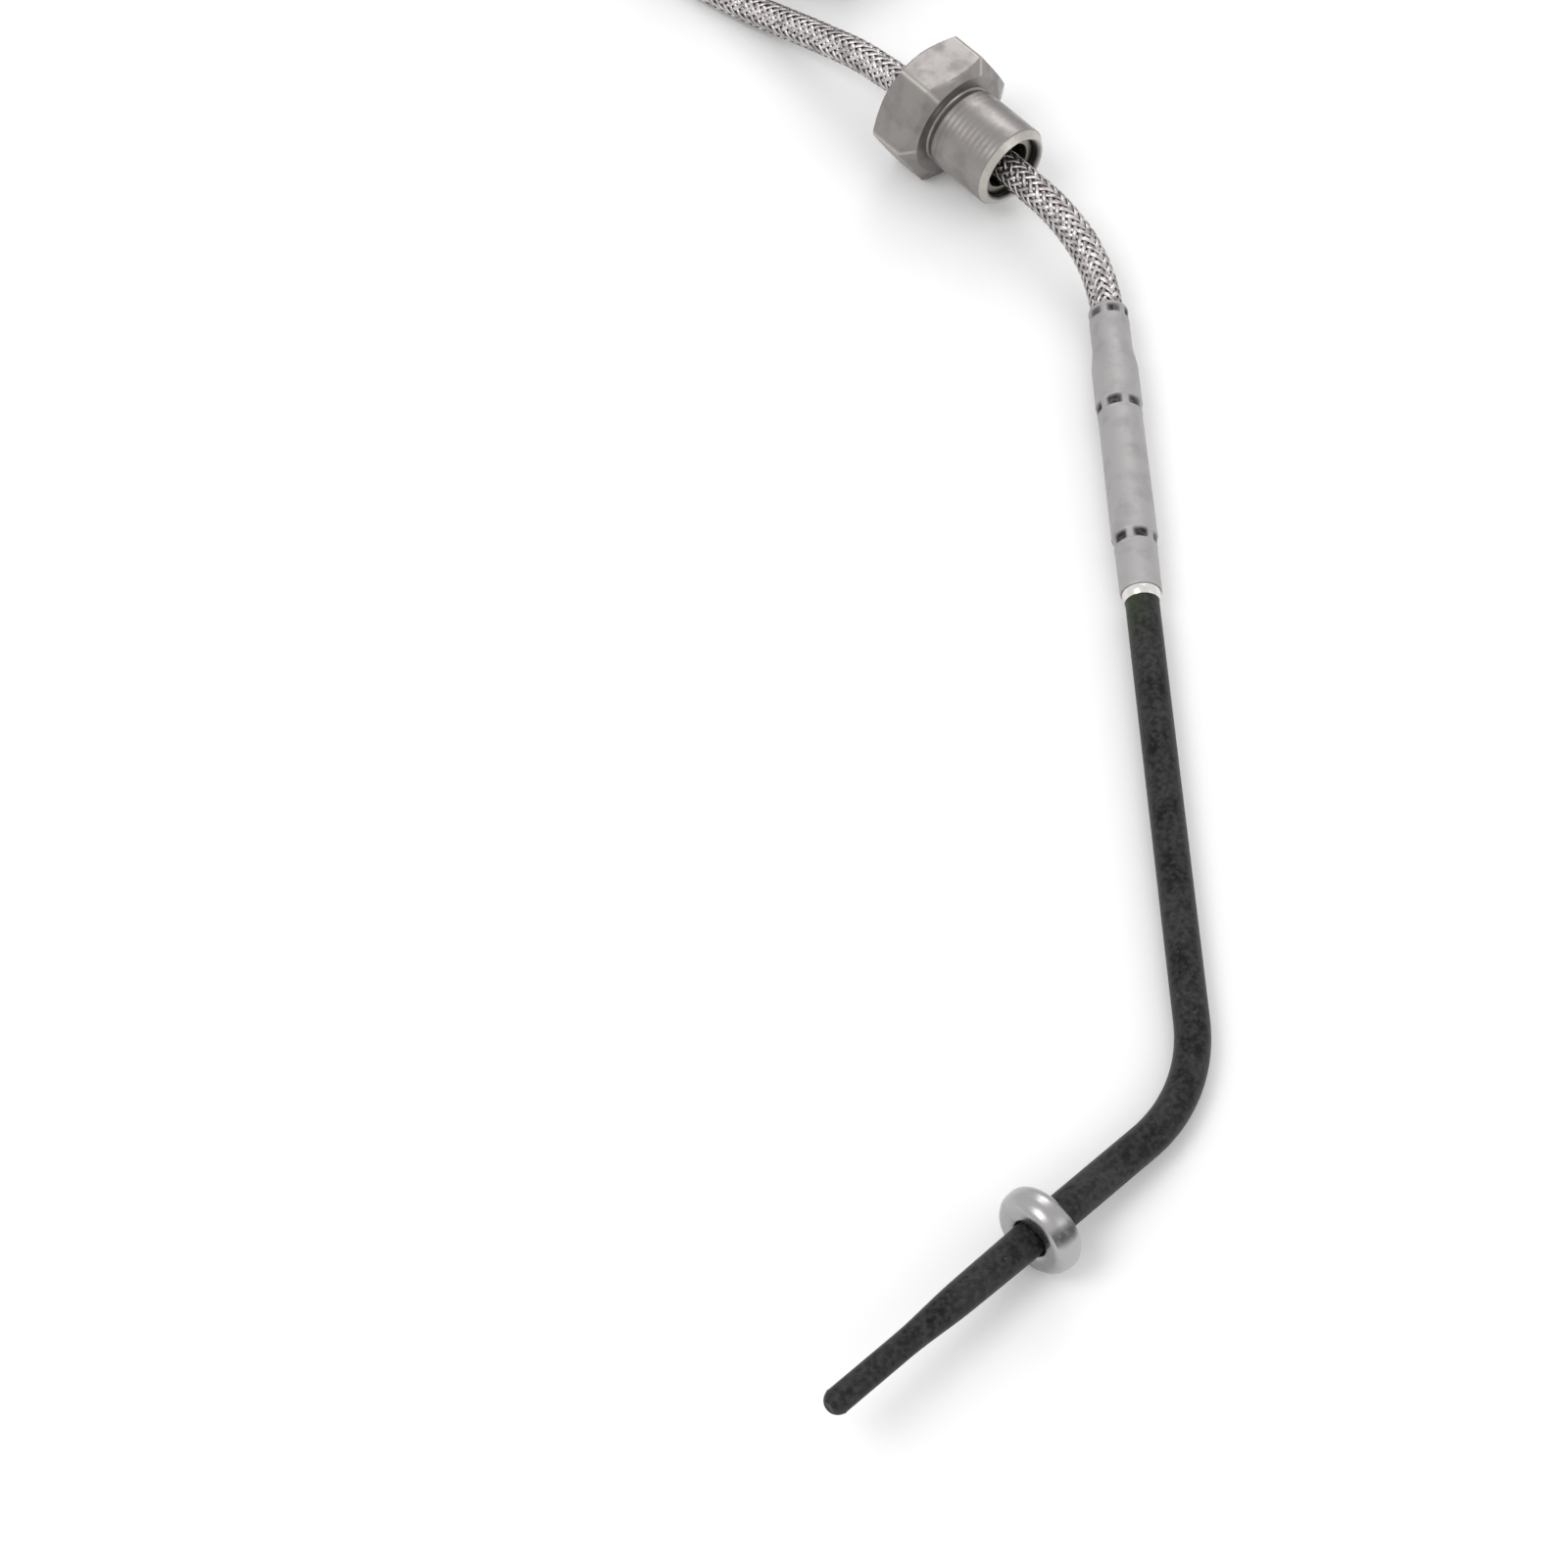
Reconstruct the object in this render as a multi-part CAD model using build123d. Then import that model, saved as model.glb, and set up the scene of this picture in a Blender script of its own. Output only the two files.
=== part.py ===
from build123d import *
import math
import os

# Exhaust gas temperature probe with a braided lead. Millimetres, +Z up, lying on the plane Z = 0.
# The origin is the centre of the underside of the box round the probe and its nut.

# ---------------------------------------------------------------- driving dimensions
# Rigid stem: a long leg from the bend towards the crimp sleeve, a short leg from the bend to the tip.
CORNER = Vector(24.42, -66.75, 2.45)      # where the centre lines of the two legs would cross
LONG_LEG_HEADING = 92.33                 # degrees in plan, from +X
LONG_LEG_RISE = 0.75
SHORT_LEG_HEADING = 223.9
SHORT_LEG_RISE = 7.1
BEND_RADIUS = 24.6
STEM_R = 2.5
STEM_WALL = 0.5
STEM_INTO_SLEEVE = 89.0                  # distance from the corner along the long leg
CONDUCTOR_R = 0.3
CONDUCTOR_OFFSET = 0.95
WIRE_GAP = 0.02

# Collar and tip, by distance from the corner along the short leg.
COLLAR_BACK = 29.0
COLLAR_R = 6.15
COLLAR_RIM = 3.4
COLLAR_BACK_CHAMFER = 0.6
COLLAR_BACK_R = 5.4
COLLAR_CONE = 0.7
COLLAR_FACE_R = 5.35
TIP_JOINT = 31.4                         # the tip sheath butts on the stem tube inside the collar
TIP_SHRINK = 0.25                        # how much the tip's straight stretch narrows
TIP_STRAIGHT_END = 47.4
TIP_TAPER_END = 55.1
TIP_R = 1.78
TIP_WALL = 0.42
TIP_TUBE_END = 68.2
ELEMENT_START = 61.0
ELEMENT_LENGTH = 4.0
ELEMENT_R = 1.2
DIMPLE_R = 0.6
DIMPLE_STANDOFF = 0.35                   # from the cap's end to the middle of the ball that dents it

# Crimp sleeve, by distance from the corner along the long leg.
SLEEVE_START = 81.8
SLEEVE_END = 135.0
SLEEVE_BORE_R = 2.95
BUSH_START = 80.2
BUSH_FACE_R = 2.62
LEAD_ENTRY = 129.0
SLEEVE_MOUTH_R = 3.15
SLEEVE_STEM_END_R = 3.3
SLEEVE_SWELL_R = 3.62                    # just past the first ring of dents
SLEEVE_WAIST_R = 3.35
SLEEVE_LEAD_END_R = 3.55
SHOULDER_START = 123.6
SHOULDER_END = 127.3
NECK_R = 3.08
NECK_END_R = 2.9
CRIMP_PLACES = (90.8, 115.6)
CRIMP_WIDTH = 1.5
CRIMP_DEPTH = 0.45
CRIMP_COUNT = 6
CRIMP_ARC = 46.0
CRIMP_CHORD_R = 3.4
CRIMP_TOOL_R = 3.5

# Inside the sleeve: conductors are joined to the lead's wires in a ceramic plug, behind a rubber seal.
INSULATOR_START = STEM_INTO_SLEEVE + 0.4
INSULATOR_END = 112.0
SPLICE_START = 96.0
SPLICE_END = 105.0
SPLICE_MIDDLE = (SPLICE_START + SPLICE_END) / 2
SPLICE_R = 0.72
LEAD_WIRE_R = 0.6
SEAL_END = 125.2
BRAID_FERRULE_LENGTH = 2.4
BRAID_FERRULE_BORE_R = 1.6

# Union nut, M14 fine thread, lying on one flat of its hexagon.
NUT_ACROSS_FLATS = 20.0
NUT_MOUTH = Vector(5.08, 92.1, NUT_ACROSS_FLATS / 2)
NUT_HEADING = -49.0                      # the way the mouth points, in plan
THREAD_R = 6.95
SHANK_LENGTH = 13.0
SHANK_CHAMFER = 1.2
HEX_LENGTH = 9.0
UNDERCUT_R = 6.25
UNDERCUT_WIDTH = 1.2
NUT_BORE_R = 4.1
COUNTERBORE_R = 5.25
COUNTERBORE_DEPTH = 3.6
MOUTH_R = 5.75
BACK_CHAMFER_DEPTH = 0.6
BACK_CHAMFER_R = 5.7                     # one millimetre outside the nut's back face
CROWN_FACE = 0.88                        # flat end face of the hexagon, as a share of its inscribed circle
CROWN_ANGLE = 30.0
THRUST_RING_LENGTH = 2.1
THRUST_RING_GAP = 0.06
THRUST_RING_STEP = 0.2                   # its bore is this much smaller than the nut's

# Braided lead, its coil and its tie.
LEAD_R = 2.6
LEAD_DROP = 0.95                         # the lead lies this far below the nut's axis
LEAD_SIDE = 0.3                          # and this far to the side of it
COIL_CENTRE = Vector(-29.9, 172.0, 0.0)
COIL_R = 28.5
COIL_TURNS = 2 + 105 / 360
COIL_ENTRY_ANGLE = 195.0
COIL_HEIGHT = 15.8
COIL_ROOM = 0.4                          # between a turn and the side of the plain ring that holds it
TIE_ANGLE = -75.0
TIE_WIDTH = 4.6
TIE_THICKNESS = 1.0
TIE_HEIGHT = 12.9                        # the coil has two turns under the tie, and three elsewhere

# Two-way connector at the lead's far end. Its own frame has +X forward and the lead on its axis.
CONNECTOR_REAR = Vector(9.0, 197.9, 6.0)
BOOT_LENGTH = 14.0
LEAD_INTO_BOOT = 8.0
HOUSING_START = 12.0
WIRE_SEAL_START = 19.0
WIRE_SEAL_END = 23.5
HOUSING_END = 31.0
HOUSING_WIDTH = 16.0
HOUSING_HEIGHT = 12.0
NOSE_END = 40.0
NOSE_WIDTH = 13.0
NOSE_HEIGHT = 9.0
TERMINAL_PITCH = 7.2
TERMINAL_SIZE = 2.0
LOCK_START = 34.0
LOCK_WIDTH = 3.0
LOCK_HEIGHT = 5.0
LATCH_PIVOT_X = 23.0
LATCH_PIVOT_Z = 8.6
LATCH_PIN_R = 0.8
LATCH_WIDTH = 5.6
EAR_GAP = 0.3
EAR_THICKNESS = 1.6
BOOT_REAR_R = 3.4
BOOT_R = 5.0
HOUSING_ROUND = 1.8
NOSE_ROUND = 1.4
SEAL_CAVITY_WIDTH = 11.0
SEAL_CAVITY_HEIGHT = 5.4
NOSE_SEAL_THICKNESS = 0.8
LEVER_THICKNESS = 1.6


def heading(degrees, rise=0.0):
    """Unit vector with that heading in plan and that rise above the horizontal."""
    flat = math.cos(math.radians(rise))
    return Vector(
        flat * math.cos(math.radians(degrees)),
        flat * math.sin(math.radians(degrees)),
        math.sin(math.radians(rise)),
    )


LONG_WAY = heading(LONG_LEG_HEADING, LONG_LEG_RISE)
SHORT_WAY = heading(SHORT_LEG_HEADING, SHORT_LEG_RISE)
BEND_NORMAL = LONG_WAY.cross(SHORT_WAY).normalized()
LONG_LEG = Plane(origin=CORNER, x_dir=BEND_NORMAL, z_dir=LONG_WAY)
SHORT_LEG = Plane(origin=CORNER, x_dir=BEND_NORMAL, z_dir=SHORT_WAY)
NUT_WAY = heading(NUT_HEADING)
NUT_PLANE = Plane(origin=NUT_MOUTH, x_dir=NUT_WAY.cross(Vector(0, 0, -1)), z_dir=NUT_WAY)
CONNECTOR = Plane(origin=CONNECTOR_REAR, x_dir=(1, 0, 0), z_dir=(0, 0, 1))

# The lead's centre line, from inside the crimp sleeve to the coil. It is straight through the nut.
NUT_LINE = NUT_MOUTH - Vector(0, 0, LEAD_DROP) + NUT_PLANE.x_dir * LEAD_SIDE
LEAD_ROUTE = [
    CORNER + LONG_WAY * LEAD_ENTRY,
    CORNER + LONG_WAY * (SLEEVE_END + 1.0),
    Vector(17.6, 73.6, 5.5),
    Vector(15.4, 78.5, 6.9),
    Vector(12.1, 83.0, 8.4),
    NUT_LINE + NUT_WAY * 4.5,
    NUT_LINE - NUT_WAY * 31.0,
    Vector(-25.9, 124.3, 5.9),
    Vector(-35.9, 132.7, 3.2),
    Vector(-46.1, 140.5, 2.6),
    Vector(-54.2, 150.5, 2.6),
]


def turned(profile, plane):
    """Solid of revolution about the plane's Z axis, from a closed outline of (radius, height)."""
    outline = Plane.XZ * Polyline(*profile, close=True)
    return plane.location * revolve(make_face(outline), Axis.Z)


def ring(plane, start, end, outer, inner=0.0):
    """Plain round ring or rod along the plane's Z axis."""
    return turned([(inner, start), (outer, start), (outer, end), (inner, end)], plane)


def along_stem(section, start, end):
    """Sweeps a flat section along the stem's centre line, between distances on its two legs."""
    path = FilletPolyline(
        CORNER + LONG_WAY * start,
        CORNER,
        CORNER + SHORT_WAY * end,
        radius=BEND_RADIUS,
    )
    place = Plane(origin=path @ 0, x_dir=BEND_NORMAL, z_dir=path % 0)
    return sweep(place * section, path=path)


# ---------------------------------------------------------------- stem and tip
def stem_tube():
    section = Circle(STEM_R) - Circle(STEM_R - STEM_WALL)
    return along_stem(section, STEM_INTO_SLEEVE, TIP_JOINT)


def mineral_core():
    hole = Circle(CONDUCTOR_R + WIRE_GAP)
    section = Circle(STEM_R - STEM_WALL - WIRE_GAP) - Pos(CONDUCTOR_OFFSET, 0) * hole
    section = section - Pos(-CONDUCTOR_OFFSET, 0) * hole
    return along_stem(section, STEM_INTO_SLEEVE, TIP_JOINT)


def conductor(side):
    section = Pos(side * CONDUCTOR_OFFSET, 0) * Circle(CONDUCTOR_R)
    return along_stem(section, SPLICE_MIDDLE, ELEMENT_START)


def tip_profile(inset):
    """Half outline of the tip sheath's wall, moved inwards by an inset."""
    return [
        (STEM_R - inset, TIP_JOINT),
        (STEM_R - TIP_SHRINK - inset, TIP_STRAIGHT_END),
        (TIP_R - inset, TIP_TAPER_END),
        (TIP_R - inset, TIP_TUBE_END),
    ]


def tip_sheath():
    outside = tip_profile(0.0)
    inside = tip_profile(TIP_WALL)
    return turned(outside + inside[::-1], SHORT_LEG)


def tip_cap():
    """Welded round end with a shallow dimple where the weld was finished."""
    nose = SHORT_LEG.location * Pos(0, 0, TIP_TUBE_END) * Sphere(TIP_R)
    keep = ring(SHORT_LEG, TIP_TUBE_END, TIP_TUBE_END + 2 * TIP_R, 2 * TIP_R)
    dimple = SHORT_LEG.location * Pos(0, 0, TIP_TUBE_END + TIP_R + DIMPLE_STANDOFF) * Sphere(DIMPLE_R)
    return (nose & keep) - dimple


def element_bead():
    end = ELEMENT_START + ELEMENT_LENGTH
    soft = 0.4
    return turned(
        [
            (0, ELEMENT_START),
            (ELEMENT_R, ELEMENT_START),
            (ELEMENT_R, end - soft),
            (ELEMENT_R - soft, end),
            (0, end),
        ],
        SHORT_LEG,
    )


def tip_filler():
    """Cement that packs the tip round the conductors and the bead."""
    inside = tip_profile(TIP_WALL + WIRE_GAP)
    body = turned([(0, TIP_JOINT)] + inside + [(0, TIP_TUBE_END)], SHORT_LEG)
    for side in (-1, 1):
        wire = SHORT_LEG.location * Pos(side * CONDUCTOR_OFFSET, 0, TIP_JOINT - 1)
        body = body - wire * extrude(Circle(CONDUCTOR_R + WIRE_GAP), ELEMENT_START - TIP_JOINT + 1)
    return body - ring(SHORT_LEG, ELEMENT_START, ELEMENT_START + ELEMENT_LENGTH, ELEMENT_R + WIRE_GAP)


def collar():
    """Sealing collar: a seat cone towards the tip, a cylindrical rim and a chamfered back."""
    rim_start = COLLAR_BACK + COLLAR_BACK_CHAMFER
    rim_end = rim_start + COLLAR_RIM
    return turned(
        [
            (STEM_R, COLLAR_BACK),
            (COLLAR_BACK_R, COLLAR_BACK),
            (COLLAR_R, rim_start),
            (COLLAR_R, rim_end),
            (COLLAR_FACE_R, rim_end + COLLAR_CONE),
            (STEM_R, rim_end + COLLAR_CONE),
        ],
        SHORT_LEG,
    )


# ---------------------------------------------------------------- crimp sleeve
def crimp_sleeve():
    """Rolled sleeve with a narrow neck on the lead and two rings of crimp dents."""
    body = turned(
        [
            (SLEEVE_BORE_R, SLEEVE_START),
            (SLEEVE_MOUTH_R, SLEEVE_START),
            (SLEEVE_STEM_END_R, SLEEVE_START + 0.4),
            (SLEEVE_STEM_END_R, CRIMP_PLACES[0] - 0.8),
            (SLEEVE_SWELL_R, CRIMP_PLACES[0] + 1.2),
            (SLEEVE_WAIST_R, CRIMP_PLACES[1] - 1.0),
            (SLEEVE_LEAD_END_R, CRIMP_PLACES[1] + 1.0),
            (SLEEVE_LEAD_END_R, SHOULDER_START),
            (NECK_R, SHOULDER_END),
            (NECK_R, SLEEVE_END - 0.3),
            (NECK_END_R, SLEEVE_END),
            (LEAD_R, SLEEVE_END),
            (LEAD_R, LEAD_ENTRY - 2.5),
            (SLEEVE_BORE_R, LEAD_ENTRY - 3.0),
        ],
        LONG_LEG,
    )
    chord = 2 * CRIMP_CHORD_R * math.sin(math.radians(CRIMP_ARC / 2))
    tool = Box(2 * CRIMP_DEPTH, chord, CRIMP_WIDTH)
    for index, place in enumerate(CRIMP_PLACES):
        for dent in range(CRIMP_COUNT):
            turn = dent * 360 / CRIMP_COUNT + index * 180 / CRIMP_COUNT
            body = body - LONG_LEG.location * Rot(0, 0, turn) * Pos(CRIMP_TOOL_R, 0, place) * tool
    return body


def stem_bush():
    """Bright bush that centres the stem in the sleeve. Its bevelled end shows."""
    return turned(
        [
            (STEM_R, BUSH_START),
            (BUSH_FACE_R, BUSH_START),
            (SLEEVE_BORE_R, BUSH_START + 0.9),
            (SLEEVE_BORE_R, STEM_INTO_SLEEVE),
            (STEM_R, STEM_INTO_SLEEVE),
        ],
        LONG_LEG,
    )


def two_hole_plug(start, end, radius, hole):
    """Round plug with two through holes for the conductors or their splices."""
    body = ring(LONG_LEG, start, end, radius)
    for side in (-1, 1):
        place = LONG_LEG.location * Pos(side * CONDUCTOR_OFFSET, 0, start - 1)
        body = body - place * extrude(Circle(hole), end - start + 2)
    return body


def insulator():
    return two_hole_plug(INSULATOR_START, INSULATOR_END, SLEEVE_BORE_R - WIRE_GAP, SPLICE_R + WIRE_GAP)


def lead_seal():
    return two_hole_plug(INSULATOR_END + 0.2, SEAL_END, SLEEVE_BORE_R - WIRE_GAP, LEAD_WIRE_R + WIRE_GAP)


def splice(side):
    """Small ferrule that joins a conductor to a lead wire end to end."""
    place = LONG_LEG * Pos(side * CONDUCTOR_OFFSET, 0, 0)
    return ring(Plane(place), SPLICE_START, SPLICE_END, SPLICE_R, CONDUCTOR_R + WIRE_GAP)


def lead_wire(side):
    """Insulated wire of the lead, bared where it enters the splice."""
    place = Plane(LONG_LEG * Pos(side * CONDUCTOR_OFFSET, 0, 0))
    return turned(
        [
            (0, SPLICE_MIDDLE + 0.1),
            (CONDUCTOR_R, SPLICE_MIDDLE + 0.1),
            (CONDUCTOR_R, SPLICE_END + 0.2),
            (LEAD_WIRE_R, SPLICE_END + 0.2),
            (LEAD_WIRE_R, LEAD_ENTRY),
            (0, LEAD_ENTRY),
        ],
        place,
    )


def braid_ferrule():
    """Support ring under the end of the braid, inside the sleeve's neck."""
    start = LEAD_ENTRY - BRAID_FERRULE_LENGTH
    return ring(LONG_LEG, start, LEAD_ENTRY, LEAD_R - WIRE_GAP, BRAID_FERRULE_BORE_R)


# ---------------------------------------------------------------- union nut
def union_nut():
    """Hollow hexagon nut whose threaded shank pushes the collar onto its seat."""
    hexagon = NUT_PLANE.location * Pos(0, 0, -SHANK_LENGTH - HEX_LENGTH)
    corner_r = NUT_ACROSS_FLATS / 2 / math.cos(math.radians(30))
    hexagon = hexagon * extrude(RegularPolygon(corner_r, 6), HEX_LENGTH)
    face_r = CROWN_FACE * NUT_ACROSS_FLATS / 2
    slope = (corner_r + 0.2 - face_r) * math.tan(math.radians(CROWN_ANGLE))
    back = -SHANK_LENGTH - HEX_LENGTH
    front = -SHANK_LENGTH
    crown = [(0, back), (face_r, back), (corner_r + 0.2, back + slope)]
    crown = crown + [(corner_r + 0.2, front - slope), (face_r, front), (0, front)]
    hexagon = hexagon & turned(crown, NUT_PLANE)
    shank = turned(
        [
            (0, front - 1),
            (UNDERCUT_R, front - 1),
            (UNDERCUT_R, front + UNDERCUT_WIDTH - 0.5),
            (THREAD_R, front + UNDERCUT_WIDTH + 0.2),
            (THREAD_R, -SHANK_CHAMFER),
            (THREAD_R - SHANK_CHAMFER * 0.8, 0),
            (0, 0),
        ],
        NUT_PLANE,
    )
    bore = turned(
        [
            (0, back - 1),
            (BACK_CHAMFER_R, back - 1),
            (NUT_BORE_R, back + BACK_CHAMFER_DEPTH),
            (NUT_BORE_R, -COUNTERBORE_DEPTH),
            (COUNTERBORE_R, -COUNTERBORE_DEPTH),
            (COUNTERBORE_R, COUNTERBORE_R - MOUTH_R),
            (MOUTH_R + 1, 1),
            (0, 1),
        ],
        NUT_PLANE,
    )
    return hexagon + shank - bore


def thrust_ring():
    """Loose ring in the nut's mouth. It bears on the collar while the nut turns round it."""
    start = -COUNTERBORE_DEPTH + 0.08
    end = start + THRUST_RING_LENGTH
    inner = NUT_BORE_R - THRUST_RING_STEP
    outer = COUNTERBORE_R - THRUST_RING_GAP
    soft = 0.25
    return turned(
        [
            (inner, start),
            (outer, start),
            (outer, end - soft),
            (outer - soft, end),
            (inner + soft, end),
            (inner, end - soft),
        ],
        NUT_PLANE,
    )


# ---------------------------------------------------------------- lead
def on_coil(angle, height):
    """Point on the coil's mean circle at that angle and height."""
    spoke = heading(angle) * COIL_R
    return COIL_CENTRE + spoke + Vector(0, 0, height)


def coil_exit_height():
    return LEAD_R * (1 + 2 * math.floor(COIL_TURNS))


def corner_radii(points):
    """Arc radius for each corner of a route: 0.45 of the shorter run over the tangent of half the turn."""
    radii = []
    for before, corner, after in zip(points, points[1:], points[2:]):
        turn = (corner - before).get_angle(after - corner)
        shorter = min((corner - before).length, (after - corner).length)
        radii.append(0.45 * shorter / math.tan(math.radians(turn / 2)))
    return radii


def cord_tube(name, points):
    """Plain round tube along straight runs joined by tangent arcs."""
    radii = corner_radii(points)
    path = FilletPolyline(*points, radius=radii)
    place = Plane(origin=path @ 0, z_dir=path % 0)
    tube = sweep(place * Circle(LEAD_R), path=path)
    expected = math.pi * LEAD_R**2 * path.length
    print(f"{name}: length {path.length:.1f}, volume {tube.volume:.0f} of {expected:.0f}")
    print(f"{name}: radii", ", ".join(f"{radius:.0f}" for radius in radii))
    return tube


def lead_points():
    """Route of the lead up to the face where it joins the coil."""
    entry = on_coil(COIL_ENTRY_ANGLE, LEAD_R)
    return LEAD_ROUTE + [entry]


def tail_points():
    """Route of the lead from the top of the coil down to the connector's boot."""
    leave = on_coil(90.0, coil_exit_height())
    return [
        leave,
        leave + Vector(12.5, -0.6, -1.2),
        Vector(-4.6, 196.8, 8.4),
        CONNECTOR_REAR + Vector(-3.2, 0, 0),
        CONNECTOR_REAR + Vector(LEAD_INTO_BOOT, 0, 0),
    ]


def lead_coil():
    """Outer shape of the coiled length: a plain ring that holds its turns."""
    half = LEAD_R + COIL_ROOM
    coil = Plane(origin=COIL_CENTRE)
    return ring(coil, 0.0, COIL_HEIGHT, COIL_R + half, COIL_R - half)


def coil_tie():
    """Strap closed round the coil's turns."""
    half = LEAD_R + COIL_ROOM
    place = Pos(COIL_CENTRE) * Rot(0, 0, TIE_ANGLE) * Pos(COIL_R, 0, TIE_HEIGHT / 2)
    outside = Box(2 * half + 2 * TIE_THICKNESS, TIE_WIDTH, TIE_HEIGHT)
    inside = Box(2 * half, TIE_WIDTH + 1, TIE_HEIGHT - 2 * TIE_THICKNESS)
    return place * (outside - inside)


# ---------------------------------------------------------------- connector
def block(x_start, x_end, width, height, y=0.0, z=0.0):
    """Box in the connector's frame, centred on y and z."""
    centre = Pos((x_start + x_end) / 2, y, z)
    return CONNECTOR.location * centre * Box(x_end - x_start, width, height)


def x_rod(x_start, x_end, radius, y=0.0, z=0.0):
    """Round rod along the connector's X axis."""
    place = CONNECTOR.location * Pos(x_start, y, z) * Rot(0, 90, 0)
    return place * extrude(Circle(radius), x_end - x_start)


def connector_boot():
    """Tapered strain relief between the lead and the connector housing."""
    rear = Plane(origin=CONNECTOR_REAR, z_dir=(1, 0, 0))
    return turned(
        [
            (LEAD_R, 0),
            (BOOT_REAR_R, 0),
            (BOOT_REAR_R + 0.3, 0.6),
            (BOOT_R, HOUSING_START - 1),
            (BOOT_R, BOOT_LENGTH),
            (LEAD_R, BOOT_LENGTH),
        ],
        rear,
    )


def lead_end_ferrule():
    """Crimp ring that closes the braid inside the boot."""
    rear = Plane(origin=CONNECTOR_REAR, z_dir=(1, 0, 0))
    return ring(rear, LEAD_INTO_BOOT, BOOT_LENGTH, LEAD_R - WIRE_GAP, 1.7)


def connector_housing():
    """Housing with two terminal cavities, a nose for the mating half and two latch ears."""
    body = block(HOUSING_START, HOUSING_END, HOUSING_WIDTH, HOUSING_HEIGHT)
    body = fillet(body.edges().filter_by(Axis.X), HOUSING_ROUND)
    nose = block(HOUSING_END - 1, NOSE_END, NOSE_WIDTH, NOSE_HEIGHT)
    nose = fillet(nose.edges().filter_by(Axis.X), NOSE_ROUND)
    body = body + nose
    body = body - x_rod(HOUSING_START - 1, BOOT_LENGTH, BOOT_R)
    body = body - block(BOOT_LENGTH - 1, WIRE_SEAL_END + 0.1, SEAL_CAVITY_WIDTH, SEAL_CAVITY_HEIGHT)
    for side in (-1, 1):
        y = side * TERMINAL_PITCH / 2
        body = body - block(WIRE_SEAL_END - 1, NOSE_END - 1.2, TERMINAL_SIZE + 0.1, TERMINAL_SIZE + 0.1, y)
        body = body - block(NOSE_END - 2, NOSE_END + 1, 1.3, 1.3, y)
    body = body - block(LOCK_START, NOSE_END + 1, LOCK_WIDTH + 0.14, LOCK_HEIGHT + 0.14)
    for side in (-1, 1):
        y = side * (LATCH_WIDTH / 2 + EAR_GAP + EAR_THICKNESS / 2)
        ear = block(LATCH_PIVOT_X - 2, LATCH_PIVOT_X + 2, EAR_THICKNESS, 4.6, y, LATCH_PIVOT_Z - 1.0)
        body = body + ear
    pin = CONNECTOR.location * Pos(LATCH_PIVOT_X, 0, LATCH_PIVOT_Z) * Rot(90, 0, 0)
    return body - pin * Cylinder(LATCH_PIN_R + 0.06, HOUSING_WIDTH)


def wire_seal():
    """Rubber seal round the two wires in the back of the housing."""
    body = block(WIRE_SEAL_START, WIRE_SEAL_END, SEAL_CAVITY_WIDTH - 0.1, SEAL_CAVITY_HEIGHT - 0.1)
    body = fillet(body.edges().filter_by(Axis.X), 0.8)
    for side in (-1, 1):
        y = side * TERMINAL_PITCH / 2
        body = body - x_rod(WIRE_SEAL_START - 1, WIRE_SEAL_END + 1, LEAD_WIRE_R + WIRE_GAP, y)
    return body


def terminal(side):
    """Socket terminal with a square barrel, open at the front, and a bore for its wire."""
    y = side * TERMINAL_PITCH / 2
    body = block(WIRE_SEAL_END + 0.2, NOSE_END - 1.4, TERMINAL_SIZE, TERMINAL_SIZE, y)
    body = body - block(NOSE_END - 7.4, NOSE_END, 1.0, 1.0, y)
    return body - x_rod(WIRE_SEAL_END, WIRE_SEAL_END + 4.2, LEAD_WIRE_R + WIRE_GAP, y)


def tail_wire(side):
    """Insulated wire from the end of the braid, spread to its terminal."""
    start = CONNECTOR_REAR + Vector(LEAD_INTO_BOOT, side * CONDUCTOR_OFFSET, 0)
    end = CONNECTOR_REAR + Vector(WIRE_SEAL_END + 4, side * TERMINAL_PITCH / 2, 0)
    bends = [
        start + Vector(BOOT_LENGTH - LEAD_INTO_BOOT + 0.6, 0, 0),
        end - Vector(WIRE_SEAL_END + 4 - WIRE_SEAL_START + 0.8, 0, 0),
    ]
    path = FilletPolyline(start, *bends, end, radius=1.4)
    return sweep(Plane(origin=path @ 0, z_dir=path % 0) * Circle(LEAD_WIRE_R), path=path)


def nose_seal():
    """Rubber ring round the root of the nose."""
    start = HOUSING_END + 0.1
    end = HOUSING_END + 3.1
    width = NOSE_WIDTH + 2 * NOSE_SEAL_THICKNESS
    height = NOSE_HEIGHT + 2 * NOSE_SEAL_THICKNESS
    body = block(start, end, width, height)
    body = fillet(body.edges().filter_by(Axis.X), 2.0)
    hole = block(start - 1, end + 1, NOSE_WIDTH, NOSE_HEIGHT)
    return body - fillet(hole.edges().filter_by(Axis.X), NOSE_ROUND)


def secondary_lock():
    """Wedge in the nose that holds both terminals. It pulls forward to free them."""
    body = block(LOCK_START + 0.1, NOSE_END, LOCK_WIDTH, LOCK_HEIGHT)
    lip = block(NOSE_END, NOSE_END + 0.8, LOCK_WIDTH + 0.1, LOCK_HEIGHT + 1.4)
    return body + lip


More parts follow.
